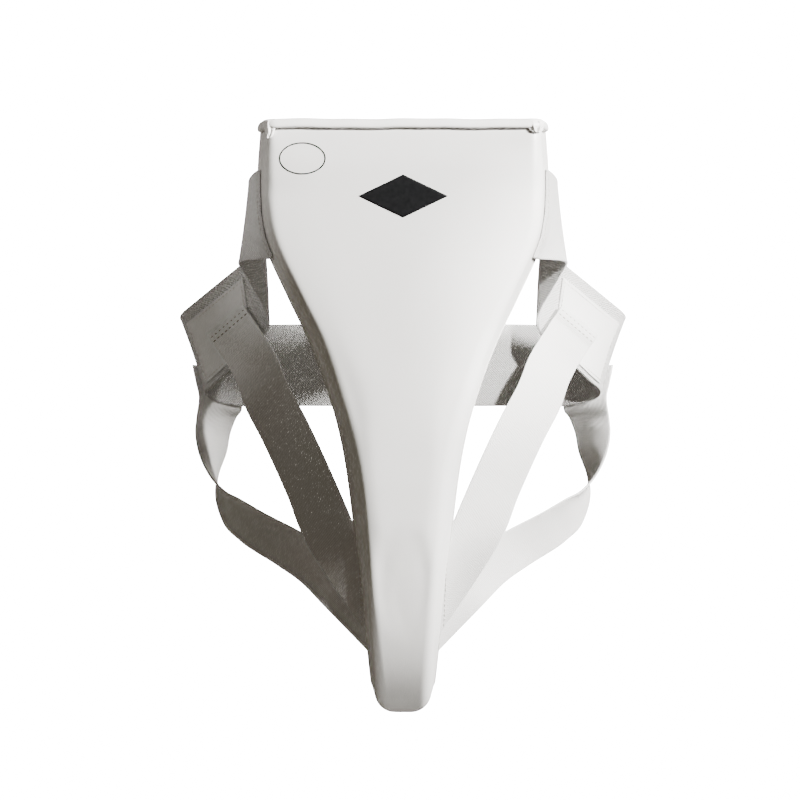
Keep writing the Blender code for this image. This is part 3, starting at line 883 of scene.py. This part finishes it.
def straight_row(middle, ruling, width):
    """Five points straight across a strap, from the upper edge along the ruling."""
    shares = (1 - 2 * np.arange(5) / 4)[:, None]
    return np.asarray(middle, float) + np.asarray(ruling, float) * (width / 2) * shares


def mirrored(rows):
    return [np.asarray(row) * (-1, 1, 1) for row in rows]


def side_wall(distance, depth):
    """How far out the side wall stands at a depth in front of the lining."""
    side = side_profile(distance, 0, COVER_BACK, 0)
    return float(np.interp(depth, [point[1] for point in side], [point[0] for point in side]))


def wall_row(top, bottom, depth, lift):
    """Five points down the pad's side wall between two distances."""
    distances = np.linspace(top, bottom, 5)
    return np.array([pad_point(side_wall(d, depth) + lift, depth, d) for d in distances])


print("side wall at the waistline", round(side_wall(PAD_ABOVE_WAISTLINE, COVER_BACK), 4))


# %% [markdown]
# ## The waistband's path
#
# The band is sewn to the pad's side walls, folds back on itself at the hip, and then runs level
# behind the body. The stations below are the right half; the left half mirrors them.

# %% Waistband path
BAND_WIDTH = 0.0500
BAND_THICKNESS = 0.0018
BAND_WALL_GAP = -0.0006
LOOP_HALF_WIDTH = 0.1350
LOOP_DEPTH = 0.1080
SEWN_DEPTHS = (0.0125, 0.0075, 0.0020)
BACK_DROP = -0.0830
# Shares of the pad's and of the loop's half width, share of the depth, drop, and upward ruling.
HIP_ROUTE = (
    (0.865, 0.135, 0.119, -0.0012, (-0.045, -0.02, 0.475)),
    (0.822, 0.178, 0.183, -0.0022, (-0.070, -0.02, 0.465)),
    (0.846, 0.154, 0.248, -0.0060, (-0.065, -0.02, 0.460)),
    (0.949, 0.051, 0.349, -0.0190, (-0.015, -0.04, 0.480)),
    (1.047, -0.047, 0.450, -0.0305, (0.030, -0.06, 0.510)),
    (1.075, -0.075, 0.495, -0.0360, (0.040, -0.02, 0.510)),
    (1.037, -0.037, 0.532, -0.0395, (0.040, 0.04, 0.510)),
    (0.925, 0.075, 0.546, -0.0440, (0.050, 0.09, 0.510)),
    (0.617, 0.383, 0.578, -0.0570, (0.100, 0.12, 0.485)),
    (0.336, 0.664, 0.651, -0.0695, (0.140, 0.10, 0.470)),
    (0.000, 0.938, 0.789, -0.0770, (0.160, 0.04, 0.450)),
    (0.000, 0.905, 0.899, -0.0805, (0.120, 0.02, 0.470)),
    (0.000, 0.785, 0.957, -0.0828, (0.040, 0.015, 0.495)),
    (0.000, 0.444, 0.988, -0.0830, (0.000, 0.005, 0.500)),
)


def rounded_path(path, spacing, passes, folds, reach):
    """The same path resampled evenly and smoothed, most within reach of the tight folds.

    Returns it with the old station number of each new row.
    """
    places = np.linspace(0.0, path.length, int(path.length / spacing) + 1)
    old = np.array([path.station_at(place) for place in places])
    rows = np.array([path.row(station) for station in old])
    nearest = np.min([abs(old - fold) for fold in folds], axis=0)
    weight = (0.25 + 0.75 * np.clip(reach - nearest, 0, 1))[1:-1, None, None]
    for _ in range(passes):
        rows[1:-1] += weight * (rows[:-2] - 2 * rows[1:-1] + rows[2:]) / 4
    return Ribbon(rows), old


def make_band():
    top = PAD_ABOVE_WAISTLINE - BAND_WIDTH / 2
    bottom = PAD_ABOVE_WAISTLINE + BAND_WIDTH / 2
    lift = BAND_WALL_GAP + BAND_THICKNESS / 2
    right = [wall_row(top, bottom, depth, lift) for depth in SEWN_DEPTHS]
    pad_side = half_width(PAD_ABOVE_WAISTLINE)
    for pad_share, loop_share, depth_share, drop, ruling in HIP_ROUTE:
        across = pad_side * pad_share + LOOP_HALF_WIDTH * loop_share
        middle = (across, LOOP_DEPTH * depth_share, drop)
        right.append(straight_row(middle, np.array(ruling) * 2, BAND_WIDTH))
    back = straight_row((0, LOOP_DEPTH, BACK_DROP), (0, 0, 1), BAND_WIDTH)
    return Ribbon(right + [back] + mirrored(right[::-1]))


# Row spacing, smoothing passes, stations of the two tight folds, and how far round each it reaches.
BAND_SMOOTHING = (0.003, 22, (8.0, 26.0), 3.0)
band, band_stations = rounded_path(make_band(), *BAND_SMOOTHING)


def band_station(number):
    """Station of the smoothed band for a station number of the route."""
    return float(np.interp(number, band_stations, np.arange(len(band_stations))))


print("waistband length, m", round(band.length, 3))

# %% [markdown]
# ## Strips with soft edges
#
# A strip's two faces meet in a rounded selvedge. `lift_at` may move the surface in or out a little
# along the way, for a hem, a pucker at a seam, or a slight cupping across the width.

# %% Strip builder


def edge_shares(width, radius, inner):
    """Shares across a strip: close together at the rounded edges, even in between."""
    near = [radius * step / width for step in (0.0, 0.12, 0.35, 0.7, 1.0)]
    even = list(np.linspace(near[-1], 1 - near[-1], inner + 2)[1:-1])
    return np.array(near + even + [1 - place for place in near[::-1]])


def same_thickness(place, across):
    return 1.0


def strap(
    name, path, first, last, width, thick, step, inner, lift_at,
    top=0.0, bottom=1.0, lift=0.0, thick_at=same_thickness,
):
    """Closed soft strip over a stretch of a ribbon, between two distances along it.

    step is the spacing of its rows and inner the number of points between its rounded edges.
    """
    across = edge_shares(width, thick / 2, inner)
    from_edge = np.minimum(across, 1 - across) * width
    rounding = np.clip(1 - from_edge / (thick / 2), 0, 1)
    section = np.sqrt(np.maximum(1 - rounding**2, 0.0))
    shares = top + (bottom - top) * across
    rows = max(int(round((last - first) / step)), 4)
    places = np.linspace(first, last, rows + 1)
    points, uvs = [], []
    for place in places:
        station = path.station_at(place)
        middle, _, outwards = path.surface(station, shares)
        end = min(place - first, last - place)
        end_round = math.sqrt(max(1 - max(1 - end / (thick * 0.6), 0.0) ** 2, 0.04))
        half = thick / 2 * section * end_round * thick_at(place, across)
        rise = lift + lift_at(place, across)
        points += list(middle + outwards * (rise + half)[:, None])
        points += list((middle + outwards * (rise - half)[:, None])[::-1])
        uvs += [(place, share * width) for share in across]
        uvs += [(place, share * width) for share in across[::-1]]
    return new_object(name, points, ring_faces(rows + 1, 2 * len(across)), uvs)


def ramp(distance, length):
    """0 at and before the start, rising to 1 at this length."""
    return min(max(distance / length, 0.0), 1.0)


def band_lift(place, across):
    """Slight cupping and waviness of the waistband, none where it is sewn to the pad."""
    from_end = min(place, band.length - place)
    free = ramp(from_end - 0.014, 0.03)
    cup = 0.0006 * np.sin(across * math.pi)
    wave = 0.0004 * math.sin(from_end * 120) * (across - 0.5)
    return free * (wave - cup)


def selvedge(place, across):
    """The knit's edges are finished by a firmer, slightly thicker cord."""
    near = np.minimum(across, 1 - across) * BAND_WIDTH
    return 1 + 0.18 * np.exp(-((near - 0.0012) / 0.0009) ** 2)


waistband = strap(
    "waistband_knit", band, 0.0, band.length, BAND_WIDTH, BAND_THICKNESS,
    0.0018, 26, band_lift, thick_at=selvedge,
)
finish_piece(waistband, KNIT, "wide_elastic", "waistband")

# %% [markdown]
# ## Hip patches
#
# A smooth woven patch is sewn on the band's outer face where the front strap starts, so that the
# strap's stitching doesn't pull on the knit.

# %% Hip patches
PATCH_THICKNESS = 0.0008
PATCH_HEIGHT = 0.0390
CLEARANCE = 0.0003
PATCH_STATIONS = (len(SEWN_DEPTHS) + 7.35, len(SEWN_DEPTHS) + 9.55)
PATCH_TOP = (1 - PATCH_HEIGHT / BAND_WIDTH) * 0.75
PATCH_BOTTOM = PATCH_TOP + PATCH_HEIGHT / BAND_WIDTH
PATCH_LIFT = (BAND_THICKNESS + PATCH_THICKNESS) / 2 + 0.0001


def patch_span(side):
    first, last = (band.distance_at(band_station(number)) for number in PATCH_STATIONS)
    return (first, last) if side == "right" else (band.length - last, band.length - first)


for side in ("right", "left"):
    first, last = patch_span(side)
    patch = strap(
        f"hip_patch_cloth_{side}", band, first, last, PATCH_HEIGHT, PATCH_THICKNESS,
        0.0012, 26, band_lift, top=PATCH_TOP, bottom=PATCH_BOTTOM, lift=PATCH_LIFT,
    )
    finish_piece(patch, PATCH_CLOTH, "patch_cloth", f"hip_patch_{side}")
print("patch length, m", round(last - first, 4))

# %% [markdown]
# ## Leg straps
#
# Each strap is narrow elastic webbing. The front one starts on the hip patch under two rows of
# stitches, the rear one on the band's back stretch, and both end on the side of the tongue.

# %% Strap paths
STRAP_WIDTH = 0.0290
STRAP_THICKNESS = 0.0014
HIP_STATION = len(SEWN_DEPTHS) + 8.05
REAR_HIP_STATION = len(SEWN_DEPTHS) + 11.55
STRAP_END_REACH = 0.0022
# Share of the way from hip to tongue, stand-off from that line, and direction across the strap.
FRONT_ROUTE = (
    (0.00, (-0.0056, -0.0050, -0.0095), (0.80, 0.20, -0.57)),
    (0.00, (-0.0117, -0.0115, -0.0248), (0.85, 0.15, -0.50)),
    (0.33, (0.0010, -0.0040, 0.0017), (0.88, 0.12, -0.45)),
    (0.57, (0.0016, -0.0067, 0.0016), (0.92, 0.10, -0.38)),
    (1.00, (0.0196, 0.0039, 0.0334), (0.93, 0.06, -0.35)),
)
REAR_ROUTE = (
    (0.00, (0.0027, 0.0037, -0.0086), (0.80, -0.60, 0.00)),
    (0.00, (0.0045, 0.0017, -0.0166), (0.70, -0.71, 0.00)),
    (0.00, (0.0041, -0.0043, -0.0303), (0.50, -0.86, -0.05)),
    (0.00, (0.0027, -0.0103, -0.0446), (0.05, -1.00, 0.00)),
    (0.26, (0.0226, 0.0084, -0.0220), (-0.25, -0.95, 0.17)),
    (0.34, (0.0224, 0.0080, -0.0219), (-0.37, -0.74, 0.56)),
    (0.43, (0.0190, 0.0086, -0.0188), (-0.49, -0.60, 0.63)),
    (0.58, (0.0091, 0.0078, -0.0125), (-0.55, -0.47, 0.69)),
    (1.00, (0.0302, 0.0287, 0.0303), (-0.60, -0.43, 0.67)),
    (1.00, (0.0167, 0.0117, 0.0197), (-0.60, -0.30, 0.72)),
)
FRONT_SEWN_ABOVE_TIP = (0.1030, 0.0480)
REAR_SEWN_ABOVE_TIP = (0.0760, 0.0360)
FRONT_SEWN_DEPTH = 0.0026
REAR_SEWN_DEPTH = 0.0005


# %% [markdown]
# ## Building the strap paths
#
# The rows at the hip stand on the band and those at the tongue are on its side wall. The free rows
# between them hang at given offsets from the line that joins the two ends, so a strap still meets
# both ends when a size changes. The left straps mirror the right ones.

# %% Build the strap paths


def across_strap(middle, direction):
    return straight_row(middle, -unit(np.asarray(direction, float)), STRAP_WIDTH)


def free_rows(route, hip, tongue):
    """Rows of a strap's free stretch between its rows at the hip and at the tongue."""
    rows = []
    for share, stand_off, direction in route:
        middle = hip[2] * (1 - share) + tongue[2] * share + np.array(stand_off)
        rows.append(across_strap(middle, direction))
    return rows


def front_path():
    lift = BAND_THICKNESS / 2 + PATCH_THICKNESS + 2 * CLEARANCE + STRAP_THICKNESS / 2
    point, along, outwards = (value[0] for value in band.surface(band_station(HIP_STATION), [0.5]))
    down = np.cross(along, outwards)
    start = point + outwards * lift
    rows = [across_strap(start + down * reach, along) for reach in (0.0, 0.008, 0.016, 0.025)]
    top, bottom = (PAD_LENGTH - above_tip for above_tip in FRONT_SEWN_ABOVE_TIP)
    sewn = wall_row(top, bottom, FRONT_SEWN_DEPTH, -STRAP_END_REACH)
    return Ribbon(rows + free_rows(FRONT_ROUTE, rows[-1], sewn) + [sewn])


def rear_path():
    lift = BAND_THICKNESS / 2 + 2 * CLEARANCE + STRAP_THICKNESS / 2
    points, along, outwards = band.surface(band_station(REAR_HIP_STATION), (0.55, 0.80, 1.0))
    rows = [across_strap(*row) for row in zip(points + outwards * lift, -along)]
    top, bottom = (PAD_LENGTH - above_tip for above_tip in REAR_SEWN_ABOVE_TIP)
    sewn = wall_row(bottom, top, REAR_SEWN_DEPTH, -STRAP_END_REACH)
    return Ribbon(rows + free_rows(REAR_ROUTE, rows[-1], sewn) + [sewn])


front_right, rear_right = front_path(), rear_path()
paths = {
    "front_right": front_right,
    "front_left": Ribbon(mirrored(front_right.rows)),
    "rear_right": rear_right,
    "rear_left": Ribbon(mirrored(rear_right.rows)),
}
print("strap lengths, m", {name: round(path.length, 3) for name, path in paths.items()})

# %% [markdown]
# ## Hems
#
# Where a front strap starts its end is turned under, which makes it twice as thick with a small
# lip, and the stitches pull a shallow groove. The rear straps' ends get the same hem and grooves.

# %% Leg straps
HEM_LENGTH = 0.0078
HEM_STEP = 0.0006
HEM_EXTRA = 0.75
HEM_LIFT = 0.0006
HEM_SEAMS = (0.0030, 0.0065)
GROOVE_DEPTH = 0.00045
GROOVE_WIDTH = 0.0005
STRAP_CUPPING = 0.0005


def turned_under(place):
    """1 where the end is turned under and 0 past it, with a soft step between."""
    return 1 / (1 + math.exp((place - HEM_LENGTH) / HEM_STEP))


def hem_thickness(place, across):
    return 1 + HEM_EXTRA * turned_under(place)


def outward_sign(name):
    """A mirrored strap's surface has its outward side on the other face."""
    return -1 if name in ("front_right", "rear_left") else 1


def strap_lift(path, sign):
    """How far a strap's middle stands out along it: up at the hem, in at its seams, cupped where free."""

    def lift_at(place, across):
        groove = sum(math.exp(-(((place - seam) / GROOVE_WIDTH) ** 2)) for seam in HEM_SEAMS)
        free = ramp(place - 0.012, 0.02) * ramp(path.length - place, 0.02)
        cup = STRAP_CUPPING * np.sin(across * math.pi) * free
        return sign * (HEM_LIFT * turned_under(place) - GROOVE_DEPTH * groove - cup)

    return lift_at


for name, path in paths.items():
    item = strap(
        f"leg_strap_{name}_webbing", path, 0.0, path.length, STRAP_WIDTH, STRAP_THICKNESS,
        0.0012, 16, strap_lift(path, outward_sign(name)), thick_at=hem_thickness,
    )
    finish_piece(item, WEBBING, "narrow_elastic", f"leg_strap_{name}")

# %% [markdown]
# ## Stitches
#
# A row of stitches is one short thread shape repeated along a line. A Geometry Nodes tree resamples
# the line at the stitch pitch, puts a small spindle on each point, turned along the line and varied
# a little, and realises the result. The same tree serves every seam through its named inputs.

# %% Stitch tree
STITCH_INPUTS = {
    "Pitch": "NodeSocketFloat",
    "Stitch Length": "NodeSocketFloat",
    "Thread Radius": "NodeSocketFloat",
    "Seed": "NodeSocketInt",
    "Material": "NodeSocketMaterial",
}
STITCH_NODES = {
    "in": "NodeGroupInput",
    "curve": "GeometryNodeMeshToCurve",
    "resample": "GeometryNodeResampleCurve",
    "tangent": "GeometryNodeInputTangent",
    "align": "FunctionNodeAlignRotationToVector",
    "spindle": "GeometryNodeMeshUVSphere",
    "vary": "FunctionNodeRandomValue",
    "half": "ShaderNodeMath",
    "long": "ShaderNodeMath",
    "size": "ShaderNodeCombineXYZ",
    "place": "GeometryNodeInstanceOnPoints",
    "real": "GeometryNodeRealizeInstances",
    "paint": "GeometryNodeSetMaterial",
    "smooth": "GeometryNodeSetShadeSmooth",
    "out": "NodeGroupOutput",
}
# From a node's output to a node's input, by name or by number.
STITCH_LINKS = (
    ("in", "Geometry", "curve", "Mesh"),
    ("curve", "Curve", "resample", "Curve"),
    ("in", "Pitch", "resample", "Length"),
    ("resample", "Curve", "place", "Points"),
    ("spindle", "Mesh", "place", "Instance"),
    ("tangent", "Tangent", "align", "Vector"),
    ("align", "Rotation", "place", "Rotation"),
    ("in", "Seed", "vary", "Seed"),
    ("in", "Stitch Length", "half", 0),
    ("half", 0, "long", 0),
    ("vary", 1, "long", 1),
    ("in", "Thread Radius", "size", "X"),
    ("in", "Thread Radius", "size", "Y"),
    ("long", 0, "size", "Z"),
    ("size", "Vector", "place", "Scale"),
    ("place", "Instances", "real", "Geometry"),
    ("real", "Geometry", "paint", "Geometry"),
    ("in", "Material", "paint", "Material"),
    ("paint", "Geometry", "smooth", "Geometry"),
    ("smooth", "Geometry", "out", "Geometry"),
)


def make_stitch_tree():
    tree = bpy.data.node_groups.new("stitch_row", "GeometryNodeTree")
    add_socket = tree.interface.new_socket
    for direction in ("INPUT", "OUTPUT"):
        add_socket("Geometry", in_out=direction, socket_type="NodeSocketGeometry")
    for name, kind in STITCH_INPUTS.items():
        add_socket(name, in_out="INPUT", socket_type=kind)
    nodes = {name: tree.nodes.new(kind) for name, kind in STITCH_NODES.items()}
    nodes["resample"].mode = "LENGTH"
    nodes["align"].axis = "Z"
    nodes["half"].operation = nodes["long"].operation = "MULTIPLY"
    nodes["half"].inputs[1].default_value = 0.5
    shortest, longest = 0.88, 1.08
    nodes["vary"].inputs[2].default_value = shortest
    nodes["vary"].inputs[3].default_value = longest
    for name, value in (("Segments", 6), ("Rings", 6), ("Radius", 1.0)):
        nodes["spindle"].inputs[name].default_value = value
    for start, output, end, socket in STITCH_LINKS:
        tree.links.new(nodes[start].outputs[output], nodes[end].inputs[socket])
    return tree


STITCHES = make_stitch_tree()
print("stitch tree nodes", len(STITCHES.nodes))

# %% Thread along a line


def stitch(name, lines, thread, seed, material, nodes=()):
    """Rows of stitches along polylines, as one piece; thread is its pitch, length and radius."""
    points, edges = [], []
    for line in lines:
        start = len(points)
        points += [tuple(point) for point in line]
        edges += [(index, index + 1) for index in range(start, len(points) - 1)]
    mesh = bpy.data.meshes.new(name)
    mesh.from_pydata(points, edges, [])
    item = in_scene(name, mesh)
    rows = item.modifiers.new("stitches", "NODES")
    rows.node_group = STITCHES
    values = dict(zip(STITCH_INPUTS, (*thread, seed, material)))
    for socket in STITCHES.interface.items_tree:
        if socket.in_out == "INPUT" and socket.name in values:
            rows[socket.identifier] = values[socket.name]
    bake_modifiers(item)
    finish_piece(item, material, "thread", *nodes)


def line_across(path, distance, top, bottom, lift):
    """Points across a ribbon at one distance along it, lifted outwards."""
    middle, _, outwards = path.surface(path.station_at(distance), np.linspace(top, bottom, 24))
    return middle + outwards * lift


def line_along(path, first, last, share, lift):
    """Points along a ribbon at one share of its width, lifted outwards."""
    line = []
    for distance in np.linspace(first, last, 40):
        middle, _, outwards = path.surface(path.station_at(distance), [share])
        line.append(middle[0] + outwards[0] * lift)
    return line


# %% [markdown]
# ## Which seams there are
#
# Two rows hold each front strap on its patch. One row holds each rear strap on the band, each front
# strap's end on the tongue and each band end on the pad. Fine rows run round the patches, and one
# runs round the back lining just inside its edge. Only the two rows at the hip are darkened, as painted
# shade that stands in for the shadow in their stitch holes; the other rows keep the thread's pale colour.

# %% Stitch rows
# Pitch, stitch length and thread radius, in metres.
HIP_THREAD = (0.0031, 0.0022, 0.00042)
SEAM_THREAD = (0.0030, 0.0023, 0.0003)
PATCH_THREAD = (0.0026, 0.0020, 0.00022)
LINING_THREAD = (0.0034, 0.0026, 0.0003)
HIP_ROWS = (0.0030, 0.0060)
SEAM_INSET = 0.0030
TONGUE_INSET = 0.0040
PATCH_INSET = 0.0018
HEM_FACE = STRAP_THICKNESS * (1 + HEM_EXTRA) / 2 + 0.0002
STRAP_FACE = STRAP_THICKNESS / 2 + 0.0001
BAND_FACE = BAND_THICKNESS / 2 + 0.0002
PATCH_FACE = PATCH_LIFT + PATCH_THICKNESS / 2 - 0.0001
PATCH_SHARES = (PATCH_TOP + 0.04, PATCH_BOTTOM - 0.04)
for side in ("right", "left"):
    path, sign = paths[f"front_{side}"], outward_sign(f"front_{side}")
    lines = [line_across(path, place, 0.07, 0.93, sign * HEM_FACE) for place in HIP_ROWS]
    seams = (f"hip_seam_upper_{side}", f"hip_seam_lower_{side}")
    # The hip rows take the thread darkened with painted shade.
    stitch(f"hip_stitches_{side}", lines, HIP_THREAD, 1, THREAD, seams)
    lines = [line_across(path, path.length - TONGUE_INSET, 0.06, 0.94, sign * STRAP_FACE)]
    stitch(f"tongue_stitches_{side}", lines, SEAM_THREAD, 2, PALE_THREAD, (f"tongue_seam_{side}",))
    path, sign = paths[f"rear_{side}"], outward_sign(f"rear_{side}")
    lines = [line_across(path, SEAM_INSET, 0.06, 0.94, sign * HEM_FACE)]
    stitch(f"rear_stitches_{side}", lines, SEAM_THREAD, 3, PALE_THREAD, (f"rear_seam_{side}",))
    edge = SEAM_INSET if side == "right" else band.length - SEAM_INSET
    lines = [line_across(band, edge, 0.05, 0.95, BAND_FACE)]
    stitch(f"waistband_stitches_{side}", lines, SEAM_THREAD, 4, PALE_THREAD, (f"waistband_seam_{side}",))
    first, last = patch_span(side)
    lines = [line_along(band, first + 0.002, last - 0.002, share, PATCH_FACE) for share in PATCH_SHARES]
    ends = (first + PATCH_INSET, last - PATCH_INSET)
    lines += [line_across(band, place, *PATCH_SHARES, PATCH_FACE) for place in ends]
    stitch(f"patch_stitches_{side}", lines, PATCH_THREAD, 5, PALE_THREAD)


def lining_edge(inset):
    """Line down one side of the back lining, round its tip and up the other, inset from its edge."""
    tip = PAD_LENGTH - 0.016
    down = [(half_width(distance) - inset, distance) for distance in np.linspace(0.006, tip, 90)]
    last = down[-1][0]
    turn = [(last * math.cos(a), tip + 0.009 * math.sin(a)) for a in np.linspace(0, math.pi, 14)[1:-1]]
    line = down + turn + [(-across, distance) for across, distance in down[::-1]]
    return [pad_point(across, -0.0002, distance) for across, distance in line]


stitch("lining_stitches", [lining_edge(0.0045)], LINING_THREAD, 6, PALE_THREAD)

# %% [markdown]
# ## Prints
#
# Two plain shapes stand in for the original printing: a solid lozenge and a thin oval. Each is a
# thin skin laid on the filled cover: every point is projected straight back onto its surface.

# %% Prints
MARK_WIDTH = 0.0500
MARK_HEIGHT = 0.0240
MARK_ABOVE_WAISTLINE = 0.0090
BADGE_WIDTH = 0.0260
BADGE_HEIGHT = 0.0180
BADGE_LINE = 0.0007
BADGE_PLACE = (-0.0560, 0.0300)
PRINT_FILM = 0.00012
cover_tree = BVHTree.FromPolygons(
    [vertex.co.copy() for vertex in cover.data.vertices],
    [tuple(face.vertices) for face in cover.data.polygons],
)


def on_cover(across, up, lift):
    """The cover's front surface at a place seen from the front, lifted off it."""
    hit, normal, _, _ = cover_tree.ray_cast(Vector((across, -0.1, up)), Vector((0, 1, 0)))
    return np.array(hit + normal * lift)


def print_film(name, grid, closed, node):
    """Thin closed skin over a grid of (across, up) places; closed joins its last column to its first."""
    rows, columns = len(grid), len(grid[0])
    points = [on_cover(*place, lift) for lift in (PRINT_FILM, -PRINT_FILM) for row in grid for place in row]
    below = rows * columns
    turns = [(column, (column + 1) % columns) for column in range(columns if closed else columns - 1)]
    faces = []
    for row in range(rows - 1):
        for here, there in turns:
            a, b = row * columns + here, row * columns + there
            faces.append((a, b, b + columns, a + columns))
            faces.append((below + a + columns, below + b + columns, below + b, below + a))
    last = below - columns
    rim = [(there, here) for here, there in turns] + [(last + here, last + there) for here, there in turns]
    if not closed:
        for row in range(rows - 1):
            left, right = row * columns, (row + 1) * columns - 1
            rim += [(left, left + columns), (right + columns, right)]
    faces += [(a, b, below + b, below + a) for a, b in rim]
    finish_piece(new_object(name, points, faces), INK, "print_ink", node)


# %% [markdown]
# ## The two shapes
#
# A grid over each shape is all that a film needs. The lozenge's grid runs from corner to corner, and
# the oval's has three rings, because only its line is printed.

# %% Lozenge and oval


def lozenge_grid(count):
    """Grid over a lozenge: the rows run from corner to corner."""
    left, top = np.array((-MARK_WIDTH / 2, 0)), np.array((0, MARK_HEIGHT / 2))
    centre = np.array((0, MARK_ABOVE_WAISTLINE))
    shares = np.linspace(0, 1, count)
    return [[tuple(centre + left * (1 - s - t) + top * (s - t)) for t in shares] for s in shares]


def oval_grid(turns):
    """Grid over an oval's line: three rings, from its outer edge inwards."""
    x, y = BADGE_PLACE
    angles = [2 * math.pi * turn / turns for turn in range(turns)]
    rows = []
    for inset in (0.0, BADGE_LINE / 2, BADGE_LINE):
        wide, tall = BADGE_WIDTH / 2 - inset, BADGE_HEIGHT / 2 - inset
        rows.append([(x + wide * math.cos(angle), y + tall * math.sin(angle)) for angle in angles])
    return rows


print_film("front_mark_print", lozenge_grid(25), False, "front_mark")
print_film("front_badge_print", oval_grid(96), True, "front_badge")

# %% [markdown]
# ## Floor and surroundings
#
# The object hangs well above a plain pale floor, so that the floor throws little light back into
# the shade. What the camera sees behind the object is plain white, and everything else sees a weak
# warm fill.

# %% Floor and surroundings
FLOOR_CORNERS = [(-1.1, -0.9, 0), (1.1, -0.9, 0), (1.1, 1.0, 0), (-1.1, 1.0, 0)]
FLOOR_HEIGHT = -0.95
FLOOR_GLOW = 1.5
BACKDROP = 24.0
FILL = 0.15
FILL_COLOUR = (1.0, 0.90, 0.72, 1.0)
WHITE = (1.0, 1.0, 1.0, 1.0)
floor_mesh = bpy.data.meshes.new("studio_floor")
floor_mesh.from_pydata(FLOOR_CORNERS, [], [(0, 1, 2, 3)])
floor = in_scene("studio_floor", floor_mesh)
floor.location.z = FLOOR_HEIGHT
floor_finish = Finish("pale_floor", (0.80, 0.80, 0.79), 0.7)
floor_finish.vary_colour(floor_finish.noise(3), 0.97)
# The key light's pool is narrow, so the floor glows for the camera only and stays pale.
floor_glow = floor_finish.node("ShaderNodeLightPath").outputs["Is Camera Ray"]
floor_finish.shader.inputs["Emission Color"].default_value = (1.0, 0.99, 0.97, 1.0)
glow_strength = floor_finish.math("MULTIPLY", floor_glow, FLOOR_GLOW)
floor_finish.join(glow_strength, floor_finish.shader.inputs["Emission Strength"])
floor_mesh.materials.append(floor_finish.material)


def make_world():
    world = bpy.data.worlds.new("studio")
    bpy.context.scene.world = world
    world.use_nodes = True
    nodes, join = world.node_tree.nodes, world.node_tree.links.new
    path = nodes.new("ShaderNodeLightPath")
    for socket, kind, for_rest, for_camera in (
        ("Strength", "FLOAT", FILL, BACKDROP),
        ("Color", "RGBA", FILL_COLOUR, WHITE),
    ):
        mixer = nodes.new("ShaderNodeMix")
        mixer.data_type = kind
        mixer.inputs["A"].default_value = for_rest
        mixer.inputs["B"].default_value = for_camera
        join(path.outputs["Is Camera Ray"], mixer.inputs["Factor"])
        join(mixer.outputs["Result"], nodes["Background"].inputs[socket])


make_world()
print("floor at", FLOOR_HEIGHT, "backdrop", BACKDROP, "fill", FILL)

# %% [markdown]
# ## Lights and camera
#
# The key is a soft-edged spot from the right and above: its shadows fall down to the left, and its
# narrow pool keeps light off the floor. A weaker one lights the back for views from behind. Small
# accents open single places that the key doesn't reach, as a snoot does in a studio.

# %% Lights and camera
AIM = Vector((0.0, 0.03, -0.11))
WARM_WHITE = (1.0, 0.985, 0.96)
ACCENT_DISTANCE = 2.5
LENS_LENGTH = 105.3
SENSOR_WIDTH = 36.0
CAMERA_PLACE = (-0.0017, -1.322, -0.1043)
# Target, azimuth to the viewer's right, elevation, distance, lamp radius, width of the pool, power.
SPOTS = {
    "key": (AIM, 56, 28, 1.7, 0.10, 0.80, 820.0),
    "tongue": ((0.0, 0.0, -0.268), 38, -5, ACCENT_DISTANCE, 0.05, 0.075, 460.0),
    "back_patch": ((0.053, 0.115, -0.088), 13, 18, ACCENT_DISTANCE, 0.05, 0.090, 1500.0),
    "left_band": ((-0.094, 0.020, 0.014), -48, 22, ACCENT_DISTANCE, 0.05, 0.066, 480.0),
    "left_turn": ((-0.128, 0.070, -0.068), -35, 20, ACCENT_DISTANCE, 0.05, 0.030, 300.0),
    "left_strap": ((-0.115, 0.090, -0.133), 60, 12, ACCENT_DISTANCE, 0.03, 0.040, 1300.0),
    "rear": (AIM, 158, 25, 2.5, 0.25, 0.80, 160.0),
}


def spot_light(name, target, azimuth, elevation, distance, radius, width, power):
    """Narrow soft spot on one place."""
    data = bpy.data.lights.new(name, "SPOT")
    data.spot_size = 2 * math.atan(width / 2 / distance)
    data.spot_blend = 0.5
    data.shadow_soft_size = radius
    data.energy = power
    data.color = WARM_WHITE
    a, e = math.radians(azimuth), math.radians(elevation)
    towards = Vector((math.sin(a) * math.cos(e), -math.cos(a) * math.cos(e), math.sin(e)))
    lamp = in_scene(name, data)
    lamp.location = Vector(target) + towards * distance
    lamp.rotation_mode = "QUATERNION"
    lamp.rotation_quaternion = (-towards).to_track_quat("-Z", "Y")


for name, values in SPOTS.items():
    spot_light(name, *values)
camera_data = bpy.data.cameras.new("camera")
camera_data.sensor_width = SENSOR_WIDTH
camera_data.lens = LENS_LENGTH
camera = in_scene("camera", camera_data)
camera.location = CAMERA_PLACE
camera.rotation_euler.x = math.radians(90)
bpy.context.scene.camera = camera
print("lights", list(SPOTS), "camera", CAMERA_PLACE)
